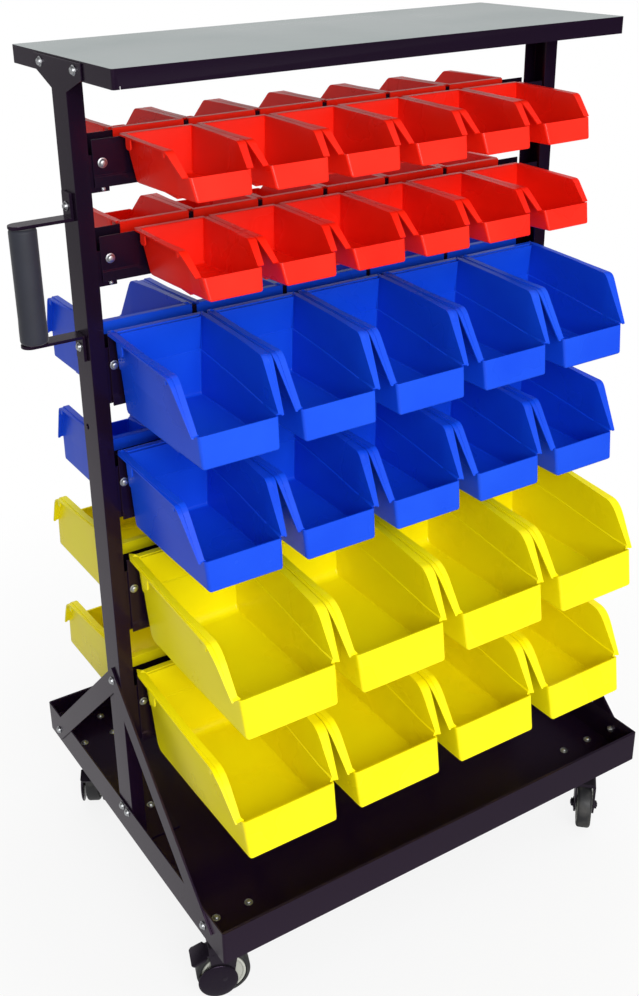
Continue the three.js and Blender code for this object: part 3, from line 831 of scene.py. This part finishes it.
class CART_OT_handle(bpy.types.Operator):
    """Foam tube of the push handle"""

    bl_idname = "cart.handle"
    bl_label = "Handle grip"

    def execute(self, context):
        low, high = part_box("handle_grip")
        radius, tall = (high.x - low.x) / 2, high.z - low.z
        middle = (low + high) / 2
        grip = round_bar("handle_grip_foam", radius, middle, tall, "Z", ROUND_SIDES)
        with editing(grip):
            rings = [low.z + share * tall for share in GRIP_RING_SHARES]
            for ring in rings:
                slice_at((0, 0, ring), (0, 0, 1))
            pick("VERT", lambda place, normal: place.z > rings[0] + MM)
            resize_picked(GRIP_WAIST, GRIP_WAIST, middle)
            inset_steps(
                lambda place, normal: abs(normal.z) > ROUGHLY,
                [(radius * GRIP_WAIST - GRIP_BORE, -0.8 * MM), (0.2 * MM, -1.5 * MM)],
            )

            def at_end(place, line):
                return abs(line.z) < ACROSS and min(place.z - low.z, high.z - place.z) < 1e-5

            round_edges(at_end, GRIP_ROUND, 6)
        shade(grip, 40.0)
        finish(grip, "Grip foam", "frame", "foam_grip", "handle_grip")
        return {"FINISHED"}


# Casters, modelled about the swivel axis on the floor, with the wheel trailing along +X


def is_cap(place, normal):
    return abs(normal.y) > ROUGHLY


def pierce():
    """Open a bore between the two selected caps."""
    bpy.ops.mesh.delete(type="FACE")
    pick("EDGE", lambda place, line: False)
    bpy.ops.mesh.select_non_manifold()
    bpy.ops.mesh.bridge_edge_loops()
    pick_all()
    bpy.ops.mesh.normals_make_consistent(inside=False)


def wheel_tread(size):
    """The tyre: a ring with rounded shoulders and a crowned tread."""
    axle = (size.trail, 0, size.wheel)
    ring = round_bar("tread", size.wheel, axle, size.wheel_width, "Y", FINE_SIDES)
    outer = 0.4 * size.wheel_width
    with editing(ring):
        slice_at((0, 0, 0), (0, 1, 0))
        round_edges(
            lambda place, line: abs(line.y) < ACROSS and abs(place.y) > outer, size.shoulder, 5
        )
        inset_steps(is_cap, [(size.wheel - size.shoulder - size.cover, -0.4 * MM)])
        pierce()
    shade(ring, 35.0)
    return ring


def wheel_cover(size):
    """The side covers and hub: a rim, a dish and a hub with a groove round the axle."""
    axle = (size.trail, 0, size.wheel)
    cover = round_bar("cover", size.cover, axle, size.wheel_width - MM, "Y", FINE_SIDES)
    steps = (
        (1.0 * MM, 0.5 * MM),  # bead
        (2.2 * MM, 0.0),  # rim
        (1.4 * MM, -1.8 * MM),  # fall to the dish
        (size.cover - size.hub - 6.1 * MM, -0.6 * MM),  # dish
        (1.5 * MM, 2.6 * MM),  # rise to the hub
        (size.hub - 9.0 * MM, 0.0),  # hub
        (0.8 * MM, -1.6 * MM),  # side of the groove
        (2.9 * MM, 0.0),  # floor of the groove
    )
    with editing(cover):
        inset_steps(is_cap, steps)
        pierce()
    soften(cover, 0.35 * MM, 2, 30.0)
    return cover


def caster_yoke(size):
    """The fork's folded sheet: a crown whose sides narrow down to the axle."""
    half = size.fork_width / 2
    low = size.crown - size.crown_depth
    axle = (size.trail, 0, size.wheel)
    legs = new_box("yoke", (size.leg_start, -half, low), (size.crown_front, half, size.crown))
    yoke = join([legs, round_bar("yoke_foot", size.leg_foot, axle, size.fork_width, "Y", 48)])
    with editing(yoke):
        pick_all()
        bpy.ops.mesh.convex_hull()
    back, front = (-size.crown_back, -half, low), (size.crown_front - MM, half, size.crown)
    combine(yoke, new_box("yoke_crown", back, front), "UNION")
    top = size.crown - 0.1 * MM
    with editing(yoke):
        pick_all()
        bpy.ops.mesh.dissolve_limited(angle_limit=math.radians(0.5))
        round_edges(lambda place, line: abs(line.x) > ALONG and place.z > top, size.fold, 5)
    gap = half - size.fork_sheet
    reach = size.crown_front + size.crown_back
    roof = size.crown - 2 * size.fork_sheet
    slot = new_box("yoke_slot", (-reach, -gap, -size.wheel), (reach, gap, roof))
    inner_fold = size.fold - size.fork_sheet / 2
    with editing(slot):
        round_edges(lambda place, line: abs(line.x) > ALONG and place.z > 0, inner_fold, 4)
    combine(yoke, slot, "DIFFERENCE")
    soften(yoke, 0.5 * MM, 2, 40.0)
    return yoke


def swivel_race(size):
    """The ball race on the crown: two pressed cups with a dust groove between them."""
    top, bottom = size.plate - SEAT, size.crown - 0.5 * MM
    middle = (top + bottom) / 2
    race = round_bar("race", size.race, (0, 0, middle), top - bottom, "Z", ROUND_SIDES)
    with editing(race):
        for lift in RACE_GROOVES:
            slice_at((0, 0, middle + lift * MM), (0, 0, 1))
        pick("VERT", lambda place, normal: abs(place.z - middle) < 1.2 * MM)
        resize_picked(RACE_WAIST, RACE_WAIST)
        pick("VERT", lambda place, normal: place.z < bottom + MM)
        resize_picked(RACE_FOOT, RACE_FOOT)
        round_edges(lambda place, line: abs(line.z) < ACROSS and place.z < middle, 1.2 * MM, 3)
    soften(race, 0.4 * MM, 2, 30.0)
    return race


def axle_ends(size):
    """A domed axle bolt on one leg and its nut on the other."""
    ends = []
    for side in SIDES:
        for name, radius, out, long, sides in AXLE_PARTS:
            middle = (size.trail, side * (size.fork_width / 2 + out * MM), size.wheel)
            ends.append(round_bar(name, radius * MM, middle, long * MM, "Y", sides))
    whole = join(ends)
    soften(whole, 0.5 * MM, 2, 30.0)
    return whole


def brake_cheeks(size):
    """Domed cheeks of the brake outside both legs."""
    cheeks = []
    across, down = size.fork_width / 2 + CHEEK_PLACE * MM, size.wheel - size.cheek_drop
    for side in SIDES:
        middle = (size.trail + size.cheek_shift, side * across, down)
        cheek = round_bar("cheek", size.cheek, middle, CHEEK_SHEET * MM, "Y", ROUND_SIDES)
        with editing(cheek):
            steps = [(thickness * MM, rise * MM) for thickness, rise in CHEEK_DOME]
            inset_steps(lambda place, normal: normal.y * side > ROUGHLY, steps)
        cheeks.append(cheek)
    whole = join(cheeks)
    soften(whole, 1.0 * MM, 3, 12.0)
    return whole


def caster_place(name):
    """Where a caster's swivel axis meets the floor, turned so that +X points to its wheel."""
    joint = next(joint for joint in frame["joints"] if joint["name"] == name + "_swivel")
    axis = Vector((joint["pos_m"][0], joint["pos_m"][1], 0))
    low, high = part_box(name + "_wheel")
    trail = (low + high) / 2 - axis
    return Matrix.Translation(axis) @ Matrix.Rotation(math.atan2(trail.y, trail.x), 4, "Z")


class CART_OT_casters(bpy.types.Operator):
    """Forks, wheels and brake pedals of the four casters"""

    bl_idname = "cart.casters"
    bl_label = "Casters"

    def execute(self, context):
        size = context.scene.caster
        steel = "Dark caster steel"
        tread, cover = wheel_tread(size), wheel_cover(size)
        fork = join([caster_yoke(size), swivel_race(size), axle_ends(size)])
        cheeks = brake_cheeks(size)
        for name in CASTERS:
            place = caster_place(name)
            wheel, fork_node, pedal = name + "_wheel", name + "_caster_fork", name + "_brake_pedal"
            put(tread, name + "_tread", place, "Wheel tread rubber", wheel, "grey_wheel", wheel)
            put(cover, name + "_wheel_cover", place, "Wheel cover plastic", wheel, "grey_wheel")
            black = (steel, fork_node, "black_steel")
            put(fork, name + "_fork_sheet", place, *black, fork_node)
            if name in BRAKED:
                put(cheeks, name + "_brake_cheeks", place, *black)
                plate = merged_copy(pedal, name + "_pedal_plate")
                soften(plate, 1.2 * MM, 3)
                finish(plate, steel, pedal, "black_steel", pedal)
        for model in (tread, cover, fork, cheeks):
            discard(model)
        return {"FINISHED"}


# Fasteners, modelled standing on the XY plane at the origin, in shares of their radius


def domed_bolt(radius):
    """A domed bolt head on its washer."""
    thick, crown = radius * 0.2, radius * 0.6
    washer = round_bar("washer", radius, (0, 0, radius * 0.1), thick, "Z", SMALL_SIDES)
    soften(washer, radius * 0.08, 2, 40.0)
    head = round_bar("head", radius * 0.76, (0, 0, radius * 0.45), crown, "Z", SMALL_SIDES)
    top = radius * 0.7
    with editing(head):
        round_edges(lambda place, line: abs(line.z) < ACROSS and place.z > top, radius * 0.5, 5)
    shade(head, 40.0)
    return join([washer, head])


def nut_and_tip(radius):
    """A hexagon nut with the bolt's end standing out of it."""
    nut = round_bar("nut", radius, (0, 0, radius * 0.38), radius * 0.76, "Z", 6)
    with editing(nut):
        inset_steps(lambda place, normal: normal.z > ROUGHLY, [(radius * 0.34, 0)])
    tip = round_bar("tip", radius * 0.5, (0, 0, radius * 0.5), radius, "Z", 20)
    for piece in (nut, tip):
        soften(piece, radius * 0.08, 2, 40.0)
    return join([nut, tip])


def both(*values):
    """Each side with each value."""
    return [(side, value) for side in SIDES for value in values]


def through_side(side, outer, inner, across, level_at):
    """A bolt on the outer face of an end of the cart, and its nut on the inner face."""
    return [
        ("bolt", (outer, across, level_at), (side, 0, 0)),
        ("nut", (inner, across, level_at), (-side, 0, 0)),
    ]


def through_floor(x, y, top, under):
    """A bolt on a floor and its nut under it."""
    return [("bolt", (x, y, top), (0, 0, 1)), ("nut", (x, y, under), (0, 0, -1))]


class CART_OT_fasteners(bpy.types.Operator):
    """Zinc-plated bolts and nuts of the frame"""

    bl_idname = "cart.fasteners"
    bl_label = "Bolts and nuts"

    def execute(self, context):
        size = context.scene.fastener
        self.models = {
            "bolt": domed_bolt(size.bolt),
            "small": domed_bolt(size.small_bolt),
            "nut": nut_and_tip(size.nut),
        }
        self.shelf_and_handle(size)
        self.rails(context.scene, size)
        self.tray(size)
        for model in self.models.values():
            discard(model)
        return {"FINISHED"}

    def group(self, name, places):
        """Copies of the fasteners at (kind, point, direction), joined to one piece."""
        copies = []
        for index, (kind, point, direction) in enumerate(places):
            turn = Vector(direction).to_track_quat("Z", "Y").to_matrix().to_4x4()
            place = Matrix.Translation(point) @ turn
            copies.append(copied(self.models[kind], f"{name}_{index}", place))
        finish(join(copies, name), "Zinc plating", "frame")

    def shelf_and_handle(self, size):
        faces = {-1: post_low.x, 1: right_post_high.x}
        skirts = {-1: shelf_low.x + size.sheet, 1: shelf_high.x - size.sheet}
        drop = shelf_high.z - size.head_drop
        places = []
        for side, across in both(-size.head_spread, size.head_spread):
            places += through_side(side, faces[side], skirts[side], across, drop)
        self.group("head_bolts", places)
        low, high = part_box("handle_bracket")
        heights = (low.z + size.handle_foot, high.z - size.handle_foot)
        foot = high.x - size.handle_bar
        self.group("handle_bolts", [("bolt", (foot, 0, z), (-1, 0, 0)) for z in heights])

    def rails(self, scene, size):
        for row, kind, _ in ROWS:
            bin_size = getattr(scene, kind + "_bin")
            low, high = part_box(row + "_rail")
            face = high.y - size.joggle
            middle = (low.x + high.x) / 2
            reach = (high.x - low.x) / 2 - bin_size.bolt_inset
            kinds = [("bolt", face, high.z - bin_size.bolt_drop)]
            if kind == "red":
                kinds.append(("small", face - size.sheet - SEAT, low.z - size.small_drop))
            places = [
                (bolt, (middle + end * reach, side * out, height), (0, side, 0))
                for bolt, out, height in kinds
                for end, side in both(-1, 1)
            ]
            self.group(row + "_rail_bolts", places)

    def tray(self, size):
        braces = {-1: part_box("left_braces")[0].x, 1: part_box("right_braces")[1].x}
        posts = {-1: post_low.x, 1: right_post_high.x}
        edges = {-1: tray_low.x, 1: tray_high.x}
        drop = tray_high.z - size.foot_drop
        places = []
        for side in SIDES:
            pivot = posts[side] + side * (SEAT + size.brace)
            web, flange = posts[side] - side * size.sheet, edges[side] - side * size.sheet
            places += through_side(side, pivot, web, 0, size.brace_top)
            for way in SIDES:
                across = way * size.brace_spread
                places += through_side(side, braces[side], flange, across, size.brace_foot)
            for way in SIDES:
                places += through_side(side, edges[side], web, way * size.foot_pair, drop)
        self.group("brace_and_foot_bolts", places)
        floor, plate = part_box("left_post")[0].z - SEAT, tray_low.z
        places = []
        for side, across in both(-size.tab_spread, size.tab_spread):
            tab = floor + SEAT + size.sheet
            x = MIDDLE_X + side * size.tab_reach
            places += through_floor(x, across, tab, floor - size.sheet)
        for name in CASTERS:
            axis = caster_place(name).translation
            for side, across in both(-size.plate_spread, size.plate_spread):
                x, y = axis.x + side * size.plate_spread, axis.y + across
                places += through_floor(x, y, floor, plate)
        self.group("tray_bolts", places)


# Bins, modelled about the middle of their back at the top of the hook, reaching out along -Y


def move_pair(half, station, level_at, new_half, reach, drop):
    """Move the two corners at a station and level of a box to their half width, reach and drop."""
    pick("VERT", lambda place, normal: near(place.y, station) and near(place.z, level_at))
    resize_picked(new_half / half, 1)
    move_picked(0, -reach - station, -drop - level_at)


def narrowing(size, reach, start, end):
    """A half width at a reach: the start's up to the crease, then on to the end's at the toe."""
    crease = CREASE_SHARE * size.toe_reach
    share = max(0.0, reach - crease) / (size.toe_reach - crease)
    return start + (end - start) * share


def rim_stations(size):
    """Reach and drop of the points along a rim, with the bend drawn as a smooth curve."""
    before = size.bend_drop / size.bend_reach
    after = (size.tip_drop - size.bend_drop) / (size.tip_reach - size.bend_reach)
    crease = CREASE_SHARE * size.toe_reach
    spread = size.bend_round
    points = [(0.0, 0.0), (crease, before * crease)]
    for share in (-1.0, -0.6, -0.2, 0.2, 0.6, 1.0):
        step = share * spread
        extra = (after - before) * (step + spread) ** 2 / (4 * spread)
        points.append((size.bend_reach + step, before * (size.bend_reach + step) + extra))
    return [*points, (size.tip_reach, size.tip_drop)]


def rim_drop(size, reach):
    """Drop of a rim at a reach, between the points along it."""
    stations = rim_stations(size)
    for (near_reach, near_drop), (far_reach, far_drop) in zip(stations, stations[1:]):
        if reach <= far_reach:
            break
    return near_drop + (far_drop - near_drop) * (reach - near_reach) / (far_reach - near_reach)


def floor_drop(size, reach):
    """Drop of the floor at a reach."""
    return size.back_drop + (size.toe_drop - size.back_drop) * reach / size.toe_reach


def bin_shell(size, half):
    """The outer skin of a bin without its rims, as wide as its back."""
    back, toe = half - size.rim, size.toe_reach
    lip_half, toe_half = size.lip_width / 2, size.toe_width / 2
    shell = new_box("bin_shell", (-back, -toe, -size.back_drop), (back, 0, 0))
    stations = rim_stations(size)
    with editing(shell):
        for reach, _ in stations[1:]:
            slice_at((0, -reach, 0), (0, 1, 0))
        pick("FACE", lambda middle, normal: normal.z > ROUGHLY)
        bpy.ops.mesh.delete(type="FACE")
        move_pair(back, -toe, 0.0, lip_half, size.lip_reach, size.lip_drop)
        move_pair(back, -toe, -size.back_drop, toe_half, toe, size.toe_drop)
        for reach, drop in stations:
            top = narrowing(size, reach, back, lip_half)
            low = narrowing(size, reach, back - size.draft, toe_half)
            move_pair(back, -reach, 0.0, top, reach, drop + size.wall)
            lean = size.back_lean if reach == 0.0 else 0.0
            move_pair(back, -reach, -size.back_drop, low, reach + lean, floor_drop(size, reach))
        round_bin(size, back)
        if size.ledge_drop > 0:
            add_ledge(size)
        add_rims(size, half, back)
    return shell


def round_bin(size, back):
    """Round the lower back edge, then the upright corners and the edges of the floor."""
    rear = -size.back_lean - MM
    front = -(size.lip_reach + size.toe_reach) / 2 + MM
    low = -size.back_drop + size.heel + MM

    def is_heel(middle, line):
        return middle.y > rear and abs(line.x) > ROUGHLY and middle.z < -10 * MM

    def is_corner(middle, line):
        if abs(line.x) > ROUGHLY:
            return middle.y < -size.toe_reach + MM and middle.z < -size.lip_drop - MM
        if abs(middle.x) < 0.5 * back:
            return False
        upright = abs(line.z) > ROUGHLY and (middle.y > rear or middle.y < front)
        return upright or (middle.z < low and abs(line.z) < 0.999)

    round_edges(is_heel, size.heel, 4)
    round_edges(is_corner, size.corner, 3)


def add_ledge(size):
    """A moulded ledge that runs round the back and down the sides to the front wall's ends."""
    start = Vector((0, 0, -size.ledge_drop))
    along = Vector((0, -size.lip_reach, -size.lip_drop)) - start
    up = Vector((0, along.z, -along.y)).normalized()

    def height(place):
        return (place - start).dot(up)

    for lift in (0.0, -LEDGE_STEP):
        pick("FACE", lambda middle, normal: normal.y > -0.6 and normal.z > -0.6)
        bpy.ops.mesh.bisect(plane_co=start + up * lift, plane_no=up)
    for side in SIDES:
        pick("VERT", lambda place, normal: place.x * side > 0 and height(place) > -0.1 * MM)
        move_picked(side * LEDGE_STEP, 0, 0)
    back = -size.back_lean - size.corner - MM
    pick("VERT", lambda place, normal: place.y > back and height(place) < -0.5 * LEDGE_STEP)
    move_picked(0, -LEDGE_STEP, 0)


def add_rims(size, half, back):
    """Turn the top edges of the sides out to rims that end at their tips."""
    tip = -size.tip_reach
    at_tip = narrowing(size, size.tip_reach, back, size.lip_width / 2) + size.rim * TIP_RIM_SHARE
    steps = [(MM, 0)]
    if size.rim_step > 0:
        steps = [(size.rim * RIM_SHARE, 0), (0.4 * MM, -size.rim_step), *steps]

    def outer(y):
        """Half width of the rim's outer edge."""
        share = max(0.0, -y - size.bend_reach) / (size.tip_reach - size.bend_reach)
        return half + (at_tip - half) * share

    for side in SIDES:

        def on_top(middle, line):
            if side * middle.x <= back * 0.5 or middle.y <= tip or abs(line.x) >= 0.98:
                return False
            return near(-middle.z, rim_drop(size, -middle.y) + size.wall, 0.3 * MM)

        pick("EDGE", on_top)
        for out, rise in steps:
            bpy.ops.mesh.extrude_edges_move(
                TRANSFORM_OT_translate={"value": (side * out, 0, rise)}
            )
        mesh = bmesh.from_edit_mesh(bpy.context.edit_object.data)
        chosen = [vertex.co.copy() for vertex in mesh.verts if vertex.select]
        for reach in sorted({round(place.y, 5) for place in chosen}):
            end = next(place for place in chosen if near(place.y, reach))
            pick("VERT", lambda co, normal: near(co.y, reach) and near((co - end).length, 0, 5e-5))
            move_picked(side * outer(end.y) - end.x, 0, 0)


def bin_hook(size, half):
    """The hook along the back: a strip over the rail's edge with its lip turned down."""
    wide = half - HOOK_INSET
    fold = HOOK_REACH - HOOK_LIP_THICKNESS
    hook = new_box("bin_hook", (-wide, -size.wall, -HOOK_THICKNESS), (wide, HOOK_REACH, 0))
    with editing(hook):
        slice_at((0, fold, 0), (0, 1, 0))
        pick("FACE", lambda middle, normal: normal.z < -ROUGHLY and middle.y > fold)
        bpy.ops.mesh.extrude_region_move(TRANSFORM_OT_translate={"value": (0, 0, -HOOK_LIP)})
    soften(hook, 0.6 * MM)
    return hook


def rim_tab(size, half, side, low_y, high_y, top, depth):
    """A tab that hangs from the rim's outer edge, with its lower corners rounded."""
    x = sorted((side * half, side * (half - size.wall)))
    tab = new_box("bin_tab", (x[0], low_y, top - depth), (x[1], high_y, top))
    radius = min(depth, high_y - low_y) * TAB_ROUND_SHARE
    middle = top - depth / 2
    with editing(tab):
        round_edges(lambda place, line: abs(line.x) > ROUGHLY and place.z < middle, radius, 4)
    soften(tab, 0.5 * MM, 1)
    return tab


def stacking_foot(size):
    """A wedge under the floor that ends in a step before the toe."""
    start, end = FOOT_START_SHARE * size.toe_reach, FOOT_END_SHARE * size.toe_reach
    wide = size.toe_width / 2 - size.corner
    under = -floor_drop(size, end)
    high = under + size.wall / 2
    foot = new_box("bin_foot", (-wide, -end, under - size.foot), (wide, -start, high))
    rise = min(0.0, (size.back_drop - size.toe_drop) * (end - start) / size.toe_reach)
    rear = -start - MM
    with editing(foot):
        pick("VERT", lambda place, normal: place.y > rear and place.z < under)
        move_picked(0, 0, size.foot + rise)
        pick("VERT", lambda place, normal: place.y > rear and place.z > under)
        move_picked(0, 0, rise)
    soften(foot, 0.8 * MM, 2, 20.0)
    return foot


def make_bin(name, size, half):
    """One finished bin of a kind, given half the width over its rims."""
    shell = bin_shell(size, half)
    wall = {"thickness": size.wall, "offset": -1.0, "use_even_offset": True, "use_rim": True}
    modify(shell, "SOLIDIFY", **wall)
    soften(shell, 0.5 * MM, 2, 40.0)
    parts = [shell, bin_hook(size, half), stacking_foot(size)]
    inset = half - 0.05 * MM
    edge = -size.wall - size.rim_step + 0.4 * MM
    long, deep = size.tab_length, size.tab_depth
    start, end = size.tab_start, size.tab_start + long
    bend = -size.bend_reach + SHORT_TAB_PLACE * size.bend_round
    short = bend + SHORT_TAB_SHARE * long
    for side in SIDES:
        top = edge - rim_drop(size, end)
        parts.append(rim_tab(size, inset, side, -end, -start, top, deep))
        top = edge - rim_drop(size, -bend)
        parts.append(rim_tab(size, inset, side, bend, short, top, SHORT_TAB_SHARE * deep))
    whole = join(parts, name)
    flatten_shading(whole)
    return whole


def place_bins(kind, size):
    """Copies of a finished bin for every place of its rows, front and rear."""
    rows = [(row, count) for row, row_kind, count in ROWS if row_kind == kind]
    low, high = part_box(rows[0][0] + "_bin_1")
    model = make_bin(kind + "_bin", size, (high.x - low.x) / 2)
    material, slot = plastic(kind), kind + "_plastic"
    for row, count in rows:
        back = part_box(row + "_rail")[1].y + SEAT
        for index in range(1, count + 1):
            front = f"{row}_bin_{index}"
            low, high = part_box(front)
            place = Matrix.Translation(((low.x + high.x) / 2, -back, high.z))
            put(model, front + "_moulded", place, material, front, slot, front)
        rear = row + "_rear_bins"
        low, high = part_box(rear)
        pitch = (high.x - low.x) / count
        for index in range(count):
            place = Matrix.Translation((low.x + pitch * (index + 0.5), back, high.z))
            turned = place @ Matrix.Rotation(math.pi, 4, "Z")
            replaced = [rear] if index == 0 else []
            name = f"{row}_rear_bin_{index + 1}"
            put(model, name, turned, material, rear, slot, *replaced)
    discard(model)
    return {"FINISHED"}


class CART_OT_red_bins(bpy.types.Operator):
    """The small red bins of the two upper rows, front and rear"""

    bl_idname = "cart.red_bins"
    bl_label = "Red bins"

    def execute(self, context):
        return place_bins("red", context.scene.red_bin)


class CART_OT_blue_bins(bpy.types.Operator):
    """The blue bins of the two middle rows, front and rear"""

    bl_idname = "cart.blue_bins"
    bl_label = "Blue bins"

    def execute(self, context):
        return place_bins("blue", context.scene.blue_bin)


class CART_OT_yellow_bins(bpy.types.Operator):
    """The large yellow bins of the two lower rows, front and rear"""

    bl_idname = "cart.yellow_bins"
    bl_label = "Yellow bins"

    def execute(self, context):
        return place_bins("yellow", context.scene.yellow_bin)


PIECES = (
    CART_OT_studio,
    CART_OT_steel,
    CART_OT_handle,
    CART_OT_casters,
    CART_OT_fasteners,
    CART_OT_red_bins,
    CART_OT_blue_bins,
    CART_OT_yellow_bins,
)


class CART_PT_panel(bpy.types.Panel):
    """The cart's settings and pieces"""

    bl_idname = "CART_PT_panel"
    bl_label = "Bin cart"
    bl_space_type = "VIEW_3D"
    bl_region_type = "UI"
    bl_category = "Bin cart"

    def draw(self, context):
        layout = self.layout
        for setting, kind in SETTINGS.items():
            box = layout.box()
            for name in kind.__annotations__:
                box.prop(getattr(context.scene, setting), name)
        for operator in PIECES:
            layout.operator(operator.bl_idname)


SETTINGS = {
    "cart_colours": CartColours,
    "studio_light": StudioLight,
    "caster": CasterSizes,
    "fastener": FastenerSizes,
    **BIN_GROUPS,
}
CLASSES = (*SETTINGS.values(), *PIECES, CART_PT_panel)


def register():
    for kind in CLASSES:
        bpy.utils.register_class(kind)
    for name, kind in SETTINGS.items():
        setattr(bpy.types.Scene, name, bpy.props.PointerProperty(type=kind))


def unregister():
    for name in SETTINGS:
        delattr(bpy.types.Scene, name)
    for kind in reversed(CLASSES):
        bpy.utils.unregister_class(kind)


def main():
    register()
    for operator in PIECES:
        group, name = operator.bl_idname.split(".")
        getattr(getattr(bpy.ops, group), name)()


if __name__ == "__main__":
    main()
